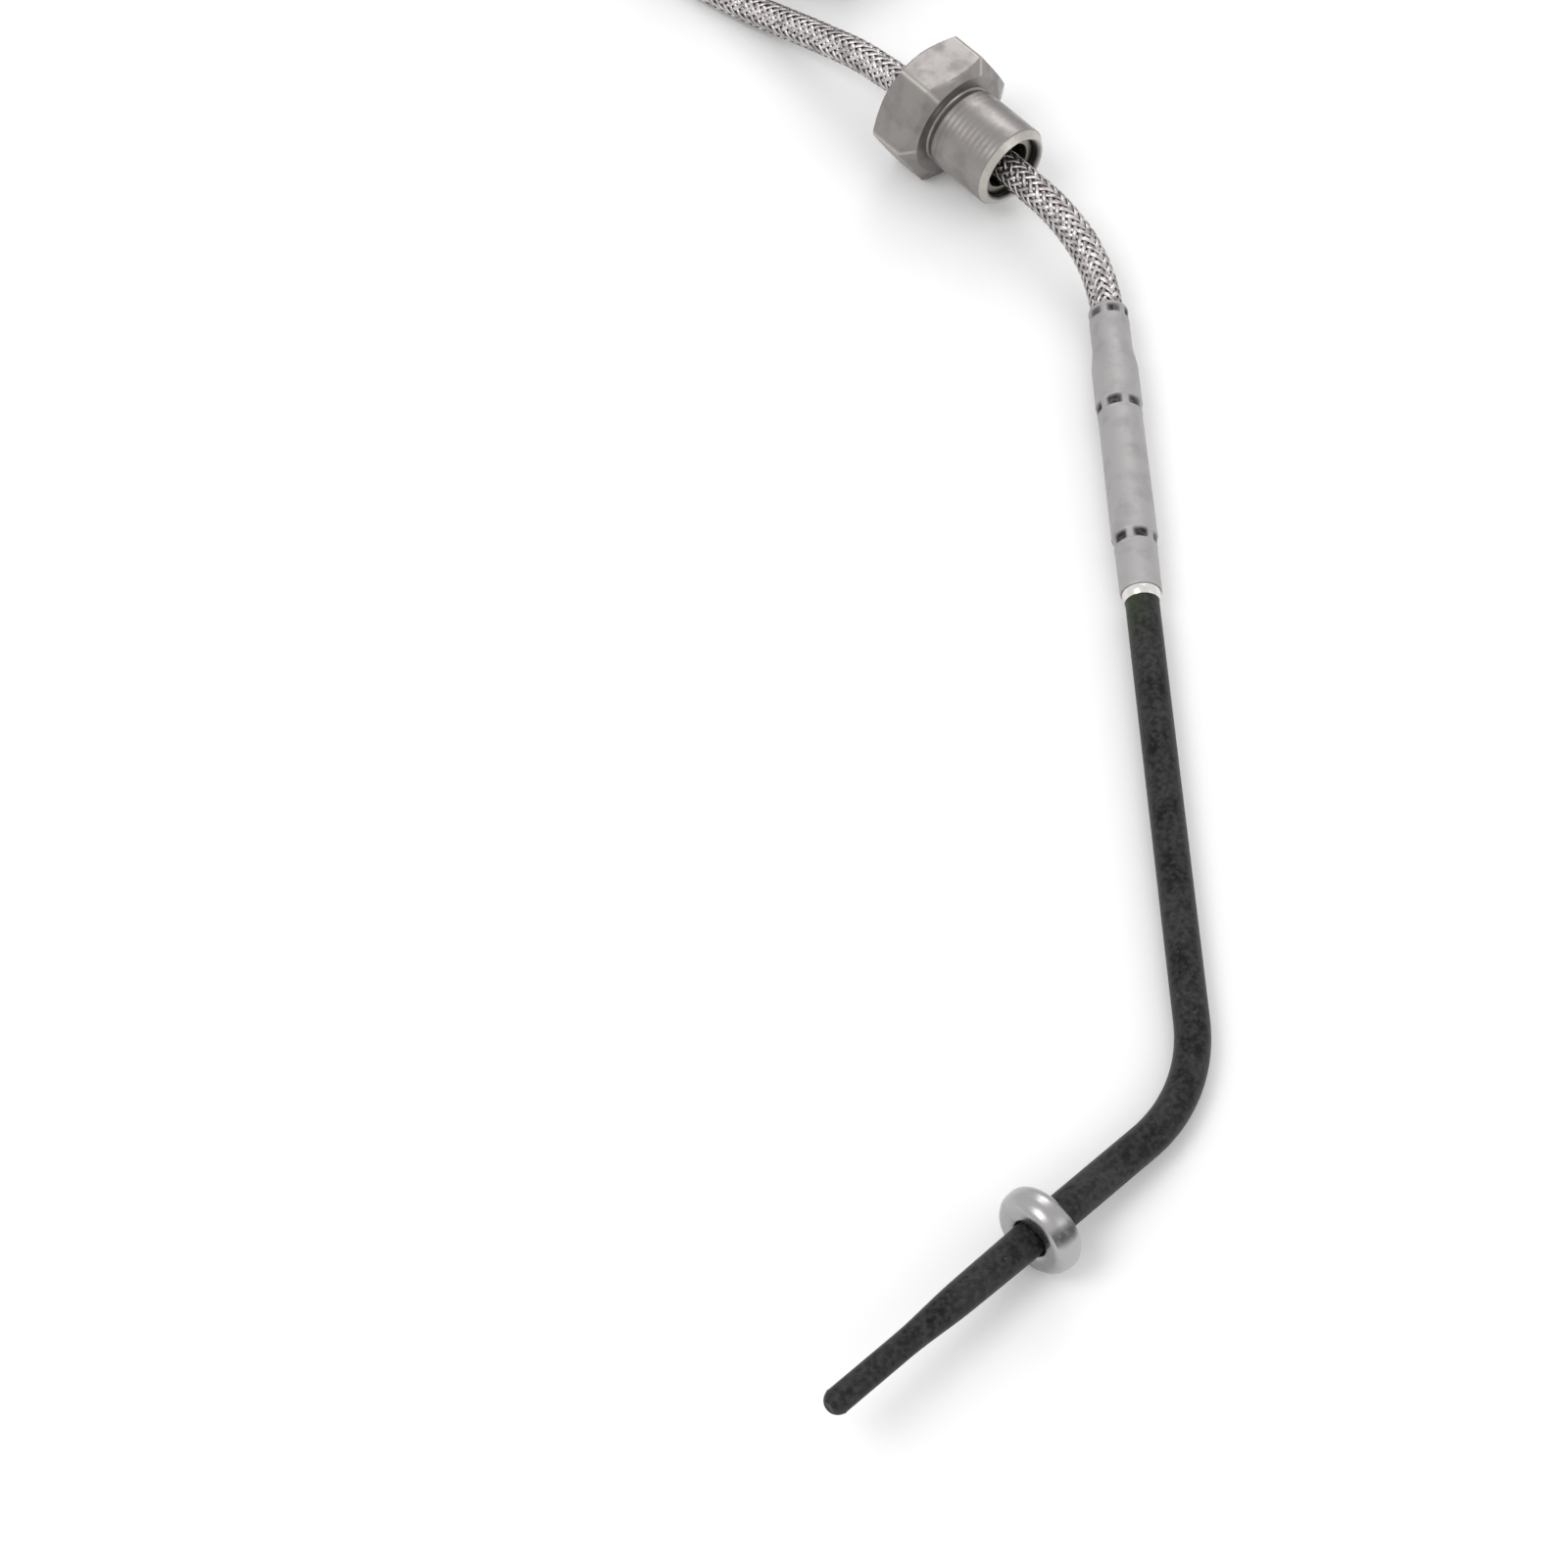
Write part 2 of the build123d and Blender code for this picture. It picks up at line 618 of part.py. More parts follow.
def latch_lever():
    """Rocking latch: thumb pad at the back, hook at the front, pin through the ears."""
    z = LATCH_PIVOT_Z
    bar = block(HOUSING_START + 1.4, HOUSING_END + 4.4, LATCH_WIDTH, LEVER_THICKNESS, 0, z)
    pad = block(HOUSING_START + 1.4, HOUSING_START + 5.0, LATCH_WIDTH + 2.4, 2.0, 0, z + 0.2)
    hook = block(HOUSING_END + 3.4, HOUSING_END + 5.0, LATCH_WIDTH, 2.6, 0, z - 0.5)
    pin = CONNECTOR.location * Pos(LATCH_PIVOT_X, 0, z) * Rot(90, 0, 0)
    half = LATCH_WIDTH / 2 + EAR_GAP + EAR_THICKNESS
    return bar + pad + hook + pin * Cylinder(LATCH_PIN_R, 2 * half)


# ---------------------------------------------------------------- output
def make_parts():
    """Every sub-part by the name of its node."""
    parts = {
        "stem_tube": stem_tube(),
        "mineral_core": mineral_core(),
        "tip_sheath": tip_sheath(),
        "tip_cap": tip_cap(),
        "element_bead": element_bead(),
        "tip_filler": tip_filler(),
        "collar": collar(),
        "crimp_sleeve": crimp_sleeve(),
        "stem_bush": stem_bush(),
        "insulator": insulator(),
        "lead_seal": lead_seal(),
        "braid_ferrule": braid_ferrule(),
        "union_nut": union_nut(),
        "thrust_ring": thrust_ring(),
        "lead": cord_tube("lead", lead_points()),
        "lead_coil": lead_coil(),
        "lead_tail": cord_tube("lead_tail", tail_points()),
        "coil_tie": coil_tie(),
        "connector_boot": connector_boot(),
        "lead_end_ferrule": lead_end_ferrule(),
        "connector_housing": connector_housing(),
        "wire_seal": wire_seal(),
        "nose_seal": nose_seal(),
        "secondary_lock": secondary_lock(),
        "latch_lever": latch_lever(),
    }
    for letter, side in (("a", -1), ("b", 1)):
        parts[f"conductor_{letter}"] = conductor(side)
        parts[f"splice_{letter}"] = splice(side)
        parts[f"lead_wire_{letter}"] = lead_wire(side)
        parts[f"terminal_{letter}"] = terminal(side)
        parts[f"tail_wire_{letter}"] = tail_wire(side)
    return parts


def main():
    os.makedirs("parts", exist_ok=True)
    for name, part in make_parts().items():
        part.label = name
        export_step(part, f"parts/{name}.step")
        box = part.bounding_box()
        low = f"{box.min.X:.2f} {box.min.Y:.2f} {box.min.Z:.2f}"
        high = f"{box.max.X:.2f} {box.max.Y:.2f} {box.max.Z:.2f}"
        print(f"{name}: {len(part.solids())} solid, {low} to {high}")


main()
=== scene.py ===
"""Exhaust gas temperature probe: its looks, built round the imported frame.

Everything is in metres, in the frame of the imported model: the probe lies on the plane Z = 0, with
+Y along its long side from the sensing tip towards the lead.
"""

import logging
import math
from dataclasses import dataclass, field
from enum import Enum
from typing import Any, Callable, Iterable, Sequence

import bmesh
import bpy
from mathutils import Matrix, Vector

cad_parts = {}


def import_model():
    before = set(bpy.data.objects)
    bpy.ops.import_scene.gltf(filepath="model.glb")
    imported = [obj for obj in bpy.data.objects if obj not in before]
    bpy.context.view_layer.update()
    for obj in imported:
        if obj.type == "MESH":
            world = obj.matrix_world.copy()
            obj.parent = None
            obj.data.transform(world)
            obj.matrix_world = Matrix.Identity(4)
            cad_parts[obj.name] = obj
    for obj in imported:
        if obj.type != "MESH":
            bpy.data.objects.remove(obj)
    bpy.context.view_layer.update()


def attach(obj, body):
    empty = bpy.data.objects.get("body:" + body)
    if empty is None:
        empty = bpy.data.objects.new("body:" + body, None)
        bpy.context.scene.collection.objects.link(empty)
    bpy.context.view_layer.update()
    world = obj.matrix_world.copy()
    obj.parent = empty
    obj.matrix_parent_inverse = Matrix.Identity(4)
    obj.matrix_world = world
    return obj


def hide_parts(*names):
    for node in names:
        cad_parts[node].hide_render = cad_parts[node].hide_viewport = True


LOG = logging.getLogger("probe")
MM = 0.001
PROBE_BODY = "probe"
NOISE_ROUGHNESS = 0.55
COIL_CENTRE = (-29.9, 172.0, 0.0)
COIL_RADIUS = 28.5
Colour = tuple[float, float, float]
Outline = Sequence[tuple[float, float]]
Piece = bpy.types.Object
Mesh = bpy.types.Mesh
Material = bpy.types.Material
Socket = bpy.types.NodeSocket
Node = bpy.types.Node
Settings = dict[str, Any]
Inputs = dict[Any, Any]


# ---------------------------------------------------------------- shader maths
class Value:
    """A number that varies over a surface: a shader socket that takes Python's operators."""

    def __init__(self, shader: "Shader", socket: Socket) -> None:
        """Wraps a socket of a shader."""
        self.shader = shader
        self.socket = socket

    def _maths(self, operation: str, *terms: "Value | float") -> "Value":
        """Adds one Math node and returns its result."""
        return self.shader.value("ShaderNodeMath", {"operation": operation}, dict(enumerate(terms)))

    def __add__(self, other: "Value | float") -> "Value":
        """Sum."""
        return self._maths("ADD", self, other)

    def __sub__(self, other: "Value | float") -> "Value":
        """Difference."""
        return self._maths("SUBTRACT", self, other)

    def __rsub__(self, other: float) -> "Value":
        """Difference from a number."""
        return self._maths("SUBTRACT", other, self)

    def __mul__(self, other: "Value | float") -> "Value":
        """Product."""
        return self._maths("MULTIPLY", self, other)

    __radd__ = __add__
    __rmul__ = __mul__

    def power(self, exponent: float) -> "Value":
        """This value to a power."""
        return self._maths("POWER", self, exponent)

    def sine(self) -> "Value":
        """Sine of this value in radians."""
        return self._maths("SINE", self)

    def absolute(self) -> "Value":
        """This value without its sign."""
        return self._maths("ABSOLUTE", self)

    def most(self, other: "Value | float") -> "Value":
        """The larger of two values."""
        return self._maths("MAXIMUM", self, other)

    def band(self, low: float, high: float) -> "Value":
        """Rises smoothly from 0 at low to 1 at high, or falls where low is the larger.

        Args:
            low: value that gives 0.
            high: value that gives 1.

        Returns:
            The new value, between 0 and 1.
        """
        rising = high > low
        ends = {"From Min": min(low, high), "From Max": max(low, high)}
        to_ends = {"To Min": 0.0 if rising else 1.0, "To Max": 1.0 if rising else 0.0}
        settings = {"interpolation_type": "SMOOTHSTEP"}
        return self.shader.value("ShaderNodeMapRange", settings, {"Value": self, **ends, **to_ends})


class Shader:
    """One material under construction, on a Principled shader."""

    def __init__(self, name: str) -> None:
        """Starts an empty material with that name."""
        self.material = bpy.data.materials.new(name)
        self.material.use_nodes = True
        self.tree = self.material.node_tree
        self.surface = self.tree.nodes["Principled BSDF"]

    def node(self, kind: str, settings: Settings | None = None, inputs: Inputs | None = None) -> Node:
        """Adds any node.

        Args:
            kind: the node's type.
            settings: its own settings, set first. A ramp's stops are {"stops": [(place, colour), ...]}.
            inputs: values, Values or sockets for its inputs, by name or index.

        Returns:
            The node.
        """
        node = self.tree.nodes.new(kind)
        for key, value in (settings or {}).items():
            if key == "stops":
                self._stops(node, value)
            else:
                setattr(node, key, value)
        for key, value in (inputs or {}).items():
            self.feed(node.inputs[key], value)
        return node

    @staticmethod
    def _stops(node: Node, stops: Sequence[tuple[float, Colour]]) -> None:
        """Sets the stops of a colour ramp."""
        elements = node.color_ramp.elements
        while len(elements) < len(stops):
            elements.new(1.0)
        for element, (place, colour) in zip(elements, stops):
            element.position = place
            element.color = (*colour, 1.0)

    def feed(self, socket: Socket, value: Any) -> None:
        """Sets or links one input."""
        if isinstance(value, Value):
            value = value.socket
        if isinstance(value, Socket):
            self.tree.links.new(value, socket)
        elif isinstance(value, tuple) and len(value) == 3 and socket.type == "RGBA":
            socket.default_value = (*value, 1.0)
        else:
            socket.default_value = value

    def value(self, kind: str, settings: Settings, inputs: Inputs, output: Any = 0) -> Value:
        """Adds a node and wraps one of its outputs as a Value."""
        return Value(self, self.node(kind, settings, inputs).outputs[output])

    def place(self, along: Vector | None = None, origin: Vector | None = None) -> Socket:
        """Object coordinates, turned so that Z runs along a direction from an origin.

        Args:
            along: the direction that becomes Z, or None to leave the coordinates as they are.
            origin: the point that becomes zero.

        Returns:
            A vector socket, in metres.
        """
        here = self.node("ShaderNodeTexCoord").outputs["Object"]
        if along is None:
            return here
        turn = along.to_track_quat("Z", "Y").inverted()
        shift = -(turn @ (origin or Vector()))
        inputs = {"Vector": here, "Location": shift, "Rotation": turn.to_euler()}
        return self.node("ShaderNodeMapping", {"vector_type": "POINT"}, inputs).outputs[0]

    def stretched(self, place: Socket, scale: Sequence[float]) -> Socket:
        """The same coordinates, times a scale for each axis."""
        settings = {"operation": "MULTIPLY"}
        return self.node("ShaderNodeVectorMath", settings, {0: place, 1: tuple(scale)}).outputs[0]

    def part(self, place: Socket, axis: str) -> Value:
        """One coordinate of a vector, X, Y or Z."""
        return self.value("ShaderNodeSeparateXYZ", {}, {0: place}, axis)

    def noise(self, place: Socket, size: float, detail: float = 3.0) -> Value:
        """Soft noise between 0 and 1, with features of about that size in metres."""
        inputs = {"Vector": place, "Scale": 1.0 / size, "Detail": detail, "Roughness": NOISE_ROUGHNESS}
        return self.value("ShaderNodeTexNoise", {}, inputs)

    def specks(self, place: Socket, size: float) -> Value:
        """Distance to the nearest of scattered points, about that far apart in metres."""
        return self.value("ShaderNodeTexVoronoi", {"feature": "F1"}, {"Vector": place, "Scale": 1.0 / size})

    def mix(self, factor: Value, low: Any, high: Any) -> Socket:
        """Colour between two colours."""
        node = self.node("ShaderNodeMix", {"data_type": "RGBA"}, {"Factor": factor})
        self.feed(node.inputs[6], low)
        self.feed(node.inputs[7], high)
        return node.outputs[2]

    def bump(self, *layers: tuple[Value, float]) -> None:
        """Raises the surface by heights, each with its depth in metres at height 1."""
        normal = None
        for height, depth in layers:
            inputs = {"Height": height, "Distance": depth, "Strength": 1.0}
            if normal is not None:
                inputs["Normal"] = normal
            normal = self.node("ShaderNodeBump", {}, inputs).outputs[0]
        self.feed(self.surface.inputs["Normal"], normal)

    def finish(self, **inputs: Any) -> Material:
        """Sets the Principled shader's inputs, by name with _ for spaces, and returns the material."""
        for key, value in inputs.items():
            self.feed(self.surface.inputs[key.replace("_", " ")], value)
        return self.material


# ---------------------------------------------------------------- finishes
@dataclass(frozen=True)
class ScaledSheath:
    """Steel sheath that has been red hot: charcoal oxide, mottled, with an olive tint at one end."""

    name: str
    along: Vector
    tint_from: Vector
    dark: Colour = (0.003, 0.0032, 0.003)
    pale: Colour = (0.034, 0.0345, 0.0335)
    olive: Colour = (0.030, 0.046, 0.014)
    flake: Colour = (0.11, 0.108, 0.10)

    def make(self) -> Material:
        """Builds the material."""
        shader = Shader(self.name)
        place = shader.place()
        cloud = shader.noise(place, 6 * MM, 4.0).band(0.34, 0.68)
        grain = shader.noise(place, 0.8 * MM, 3.0).band(0.36, 0.66)
        mottle = cloud * 0.4 + grain * 0.6
        colour = shader.mix(mottle, self.dark, self.pale)
        run = shader.part(shader.place(self.along, self.tint_from), "Z")
        near = run.band(-11 * MM, -1.0 * MM) * shader.noise(place, 3 * MM).band(0.30, 0.60)
        side = shader.part(place, "X").band(self.tint_from.x + 0.3 * MM, self.tint_from.x - 2.2 * MM)
        tint = near * (side * 0.75 + 0.12)
        colour = shader.mix(tint, colour, self.olive)
        chips = shader.specks(place, 1.5 * MM).band(0.13, 0.04)
        chips = chips * shader.noise(place, 9 * MM).band(0.5, 0.66)
        colour = shader.mix(chips * 0.7, colour, self.flake)
        shader.bump((grain, 0.018 * MM), (chips, 0.012 * MM))
        return shader.finish(
            Base_Color=colour,
            Metallic=mottle * -0.25 + 0.62,
            Roughness=mottle * 0.22 + 0.40,
            Specular_IOR_Level=0.42,
        )


@dataclass(frozen=True)
class WorkedSteel:
    """Bare steel with tool marks and stains, plus painted shade, painted reflection and worn bright colour
    with painted highlight.

    The marks run round the axis on turned work and along it on drawn work. A mesh attribute gives painted
    shade and painted dark reflection from 0 to 1, and worn bright colour with painted highlight from 0 to
    -1.
    """

    name: str
    along: Vector
    origin: Vector
    colour: Colour = (0.44, 0.425, 0.42)
    stain: Colour = (0.30, 0.285, 0.28)
    # Tone of the painted shade and the painted dark reflection.
    painted_dark_tone: Colour = (0.018, 0.017, 0.015)
    # Tone of the worn bright colour that also paints a highlight.
    worn_and_highlight_tone: Colour = (0.78, 0.74, 0.66)
    rough: float = 0.36
    marks: tuple[float, float, float] = (0.02, 0.02, 1.0)
    mark_size: float = 0.10
    depth: float = 0.005

    def make(self) -> Material:
        """Builds the material."""
        shader = Shader(self.name)
        place = shader.place(self.along, self.origin)
        tool = shader.noise(shader.stretched(place, self.marks), self.mark_size * MM, 2.0)
        cloud = shader.noise(place, 3.4 * MM, 4.0).band(0.40, 0.72)
        scratch = shader.noise(shader.stretched(place, (1.0, 0.10, 0.8)), 0.13 * MM, 1.0).band(0.63, 0.70)
        painted_light_and_wear = shader.value("ShaderNodeAttribute", {"attribute_name": "painted_light_and_wear"}, {}, "Fac")
        patch = shader.noise(place, 0.8 * MM, 3.0).band(0.15, 0.60) * 0.35 + 0.65
        # Positive marks: painted shade and painted dark reflection, mixed towards the dark tone.
        painted_darkening = painted_light_and_wear.most(0.0) * patch
        # Negative marks: worn bright colour that also paints a highlight.
        wear_and_highlight = (painted_light_and_wear * -1.0).most(0.0) * patch
        colour = shader.mix(cloud * 0.8, self.colour, self.stain)
        colour = shader.mix(wear_and_highlight, shader.mix(painted_darkening, colour, self.painted_dark_tone), self.worn_and_highlight_tone)
        shader.bump((tool, self.depth * MM), (scratch, -0.003 * MM))
        return shader.finish(
            Base_Color=colour,
            Metallic=1.0 - painted_darkening * 0.7,
            Roughness=cloud * 0.12 + tool * 0.10 + painted_darkening * 0.25 - wear_and_highlight * 0.06 + (self.rough - 0.08),
        )


@dataclass(frozen=True)
class BraidedWire:
    """Flat carriers of fine bright wires, with painted shade between the wires. The attribute "across" runs
    over a carrier's width.
    """

    name: str
    wires: int = 4
    bright: Colour = (0.72, 0.685, 0.68)
    dull: Colour = (0.30, 0.278, 0.272)
    # Tone of the painted shade in the grooves between the wires of a carrier.
    gap: Colour = (0.10, 0.094, 0.09)

    def make(self) -> Material:
        """Builds the material."""
        shader = Shader(self.name)
        across = shader.value("ShaderNodeAttribute", {"attribute_name": "across"}, {}, "Fac")
        wire = (across * (math.pi * self.wires)).sine().absolute()
        place = shader.place()
        cloud = shader.noise(place, 1.1 * MM, 3.0).band(0.36, 0.68)
        colour = shader.mix(cloud, self.bright, self.dull)
        # Painted shade in the grooves between wires.
        colour = shader.mix(wire.band(0.30, 0.04) * 0.7, colour, self.gap)
        shader.bump((wire.power(0.6), 0.009 * MM))
        return shader.finish(Base_Color=colour, Metallic=1.0, Roughness=cloud * 0.15 + 0.26)


@dataclass(frozen=True)
class PlainFinish:
    """Moulded, fired or cast surface with a fine texture and slight cloudiness."""

    name: str
    colour: Colour
    other: Colour
    rough: float = 0.5
    metal: float = 0.0
    grain: float = 0.25
    depth: float = 0.010
    cloud: float = 3.0

    def make(self) -> Material:
        """Builds the material."""
        shader = Shader(self.name)
        place = shader.place()
        cloud = shader.noise(place, self.cloud * MM, 3.0).band(0.34, 0.68)
        grain = shader.noise(place, self.grain * MM, 2.0)
        shader.bump((grain, self.depth * MM))
        return shader.finish(
            Base_Color=shader.mix(cloud, self.colour, self.other),
            Metallic=self.metal,
            Roughness=grain * 0.16 + cloud * 0.08 + (self.rough - 0.12),
        )


# ---------------------------------------------------------------- mesh helpers
def frame_along(origin: Vector, way: Vector, across: Vector) -> Matrix:
    """Frame with Z along a way and X as near as it can be to another direction."""
    z = way.normalized()
    x = (across - z * across.dot(z)).normalized()
    y = z.cross(x)
    turn = Matrix((x, y, z)).transposed().to_4x4()
    return Matrix.Translation(origin) @ turn


def smooth_by_angle(mesh: Mesh, degrees: float = 32.0) -> None:
    """Shades a mesh smooth, but for edges that turn by more than an angle."""
    work = bmesh.new()
    work.from_mesh(mesh)
    for face in work.faces:
        face.smooth = True
    for edge in work.edges:
        edge.smooth = len(edge.link_faces) == 2 and edge.calc_face_angle(0.0) < math.radians(degrees)
    work.to_mesh(mesh)
    work.free()


def linked(name: str, data: Any) -> Piece:
    """Makes an object at the origin from a mesh, curve, camera or light, and puts it in the scene."""
    piece = bpy.data.objects.new(name, data)
    bpy.context.scene.collection.objects.link(piece)
    return piece


def mesh_of(work: bmesh.types.BMesh, name: str) -> Mesh:
    """Turns edited geometry into a mesh and frees it."""
    mesh = bpy.data.meshes.new(name)
    work.to_mesh(mesh)
    work.free()
    return mesh


def new_piece(name: str, mesh: Mesh, material: Material, degrees: float = 32.0) -> Piece:
    """Links a mesh as an object at the origin, with one material and outward normals."""
    work = bmesh.new()
    work.from_mesh(mesh)
    bmesh.ops.recalc_face_normals(work, faces=work.faces)
    work.to_mesh(mesh)
    work.free()
    mesh.materials.clear()
    mesh.materials.append(material)
    smooth_by_angle(mesh, degrees)
    return linked(name, mesh)


def rounded(
    outline: Outline, radius: float, steps: int = 4, closed: bool = True
) -> list[tuple[float, float]]:
    """Rounds the corners of an outline with small curves.

    Args:
        outline: points of (radius, height) or (x, y).
        radius: size of each rounding, cut back where a side is short.
        steps: points on each rounding.
        closed: whether the last point joins the first.

    Returns:
        The rounded outline.
    """
    points = [Vector(p) for p in outline]
    result: list[tuple[float, float]] = []
    for index, corner in enumerate(points):
        if not closed and index in (0, len(points) - 1):
            result.append(tuple(corner))
            continue
        before = points[index - 1] - corner
        after = points[(index + 1) % len(points)] - corner
        cut = min(radius, 0.45 * before.length, 0.45 * after.length)
        start = corner + before.normalized() * cut
        end = corner + after.normalized() * cut
        for step in range(steps + 1):
            t = step / steps
            point = start * (1 - t) ** 2 + corner * 2 * t * (1 - t) + end * t**2
            result.append(tuple(point))
    return result


Relief = Callable[[float, float, float], float]


def lathe(
    name: str,
    outline: Outline,
    place: Matrix,
    segments: int = 96,
    relief: Relief | None = None,
    marks: Relief | None = None,
    angles: Sequence[float] | None = None,
) -> Mesh:
    """Closed solid of revolution, with an optional relief.

    Args:
        name: the mesh's name.
        outline: closed outline of (radius, height) in millimetres. Points on the axis become poles.
        place: frame whose Z is the axis, in metres.
        segments: steps round the axis.
        relief: adds to the radius at (angle, height, radius), in millimetres.
        marks: value of the mesh attribute of painted shade, painted reflection and wear at (angle, height,
            radius), from 0 to 1.
        angles: the angles of the steps, in place of even ones.

    Returns:
        The mesh, in its final place.
    """
    turns = list(angles) if angles else [2 * math.pi * k / segments for k in range(segments)]
    work = bmesh.new()
    layer = work.verts.layers.float.new("painted_light_and_wear")
    rows: list[list[bmesh.types.BMVert]] = []
    for radius, height in outline:
        if radius < 1e-6:
            pole = work.verts.new(place @ Vector((0, 0, height * MM)))
            rows.append([pole])
            continue
        row = []
        for angle in turns:
            reach = radius + (relief(angle, height, radius) if relief else 0.0)
            point = Vector((reach * math.cos(angle), reach * math.sin(angle), height)) * MM
            vert = work.verts.new(place @ point)
            vert[layer] = marks(angle, height, radius) if marks else 0.0
            row.append(vert)
        rows.append(row)
    count = len(turns)
    for this, following in zip(rows, rows[1:] + rows[:1]):
        if len(this) == 1 and len(following) == 1:
            continue
        for k in range(count):
            after = (k + 1) % count
            if len(this) == 1:
                work.faces.new((this[0], following[after], following[k]))
            elif len(following) == 1:
                work.faces.new((this[k], this[after], following[0]))
            else:
                work.faces.new((this[k], this[after], following[after], following[k]))
    return mesh_of(work, name)


def swept(
    name: str, centres: Sequence[Vector], radius: float, bore: float, normal: Vector, segments: int = 56
) -> Mesh:
    """Round tube with a wall, along a flat path.

    Args:
        name: the mesh's name.
        centres: points of the path, in metres.
        radius: outer radius, in millimetres.
        bore: inner radius, in millimetres.
        normal: direction square to the path's plane.
        segments: steps round the path.

    Returns:
        The mesh.
    """
    work = bmesh.new()
    last = len(centres) - 1

    def row(index: int, reach: float) -> list[bmesh.types.BMVert]:
        """One ring of points round a point of the path."""
        way = (centres[min(index + 1, last)] - centres[max(index - 1, 0)]).normalized()
        side = normal.cross(way).normalized()
        turns = [2 * math.pi * k / segments for k in range(segments)]
        spokes = [side * math.cos(turn) + normal * math.sin(turn) for turn in turns]
        return [work.verts.new(centres[index] + spoke * reach * MM) for spoke in spokes]

    rows = [row(index, radius) for index in range(last + 1)]
    rows += [row(index, bore) for index in range(last, -1, -1)]
    for this, following in zip(rows, rows[1:] + rows[:1]):
        for k in range(segments):
            after = (k + 1) % segments
            work.faces.new((this[k], this[after], following[after], following[k]))
    return mesh_of(work, name)


def softened(node: str, material: Material, bevel: float) -> Piece:
    """Copy of a CAD node with its edges rounded over.

    Args:
        node: the CAD node.
        material: the copy's material.
        bevel: radius of the edges, in millimetres.

    Returns:
        The copy.
    """
    work = bmesh.new()
    work.from_mesh(bpy.data.objects[node].data)
    bmesh.ops.remove_doubles(work, verts=work.verts, dist=0.002 * MM)
    bmesh.ops.dissolve_limit(work, angle_limit=math.radians(0.6), verts=work.verts, edges=work.edges)
    sharp = [e for e in work.edges if len(e.link_faces) == 2 and e.calc_face_angle(0.0) > math.radians(35)]
    bmesh.ops.bevel(
        work, geom=sharp, offset=bevel * MM, segments=2, profile=0.5, affect="EDGES", clamp_overlap=True
    )
    bmesh.ops.triangulate(work, faces=[f for f in work.faces if len(f.verts) > 4])
    return new_piece(f"{node}_moulded", mesh_of(work, f"{node}_soft"), material, 40.0)


def settle(piece: Piece, body: str, slot: str, *nodes: str) -> Piece:
    """Puts a piece on its body and says which nodes it stands for."""
    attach(piece, body)
    if nodes:
        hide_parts(*nodes)
    LOG.info("%s rides on %s and replaces %s", piece.name, body, ", ".join(nodes) or "nothing")
    return piece


def baked(piece: Piece, name: str) -> Piece:
    """Turns an object with modifiers into a plain mesh object."""
    graph = bpy.context.evaluated_depsgraph_get()
    mesh = bpy.data.meshes.new_from_object(piece.evaluated_get(graph))
    mesh.name = name
    bpy.data.objects.remove(piece)
    return linked(name, mesh)


# ---------------------------------------------------------------- geometry nodes
class GeometryTree:
    """A Geometry Nodes tree under construction, with named inputs for its sizes."""

    def __init__(self, name: str, sizes: dict[str, float | int]) -> None:
        """Starts a tree with a geometry input and one input for each size."""
        self.tree = bpy.data.node_groups.new(name, "GeometryNodeTree")
        self.sizes = sizes
        face = self.tree.interface
        face.new_socket("Geometry", in_out="INPUT", socket_type="NodeSocketGeometry")
        for key, value in sizes.items():
            kind = "NodeSocketInt" if isinstance(value, int) else "NodeSocketFloat"
            face.new_socket(key, in_out="INPUT", socket_type=kind)
        face.new_socket("Geometry", in_out="OUTPUT", socket_type="NodeSocketGeometry")
        self.given = self.tree.nodes.new("NodeGroupInput")
        self.result = self.tree.nodes.new("NodeGroupOutput")

    def size(self, key: str) -> Socket:
        """The socket of one named size."""
        return self.given.outputs[key]

    def add(self, kind: str, settings: Settings | None = None, inputs: Inputs | None = None) -> Node:
        """Adds any node, with its settings and its inputs."""
        node = self.tree.nodes.new(kind)
        for key, value in (settings or {}).items():
            setattr(node, key, value)
        for key, value in (inputs or {}).items():
            if isinstance(value, Socket):
                self.tree.links.new(value, node.inputs[key])
            else:
                node.inputs[key].default_value = value
        return node

    def maths(self, operation: str, *terms: Any) -> Socket:
        """Result of one Math node."""
        return self.add("ShaderNodeMath", {"operation": operation}, dict(enumerate(terms))).outputs[0]

    def vector(self, operation: str, inputs: Inputs) -> Socket:
        """Result of one Vector Math node."""
        return self.add("ShaderNodeVectorMath", {"operation": operation}, inputs).outputs[0]

    def triple(self, inputs: Inputs) -> Socket:
        """A vector put together from numbers."""
        return self.add("ShaderNodeCombineXYZ", {}, inputs).outputs[0]

    def finish(self, geometry: Socket, material: Material) -> None:
        """Ends the tree in Realize Instances and Set Material."""
        real = self.add("GeometryNodeRealizeInstances", {}, {0: geometry}).outputs[0]
        dressed = self.add("GeometryNodeSetMaterial", {}, {"Geometry": real, "Material": material})
        self.tree.links.new(dressed.outputs[0], self.result.inputs[0])

    def run(self, piece: Piece, name: str) -> Piece:
        """Runs the tree on a piece and returns the result as a plain mesh object."""
        modifier = piece.modifiers.new(self.tree.name, "NODES")
        modifier.node_group = self.tree
        for item in self.tree.interface.items_tree:
            if item.item_type == "SOCKET" and item.in_out == "INPUT" and item.name in self.sizes:
                modifier[item.identifier] = self.sizes[item.name]
        return baked(piece, name)


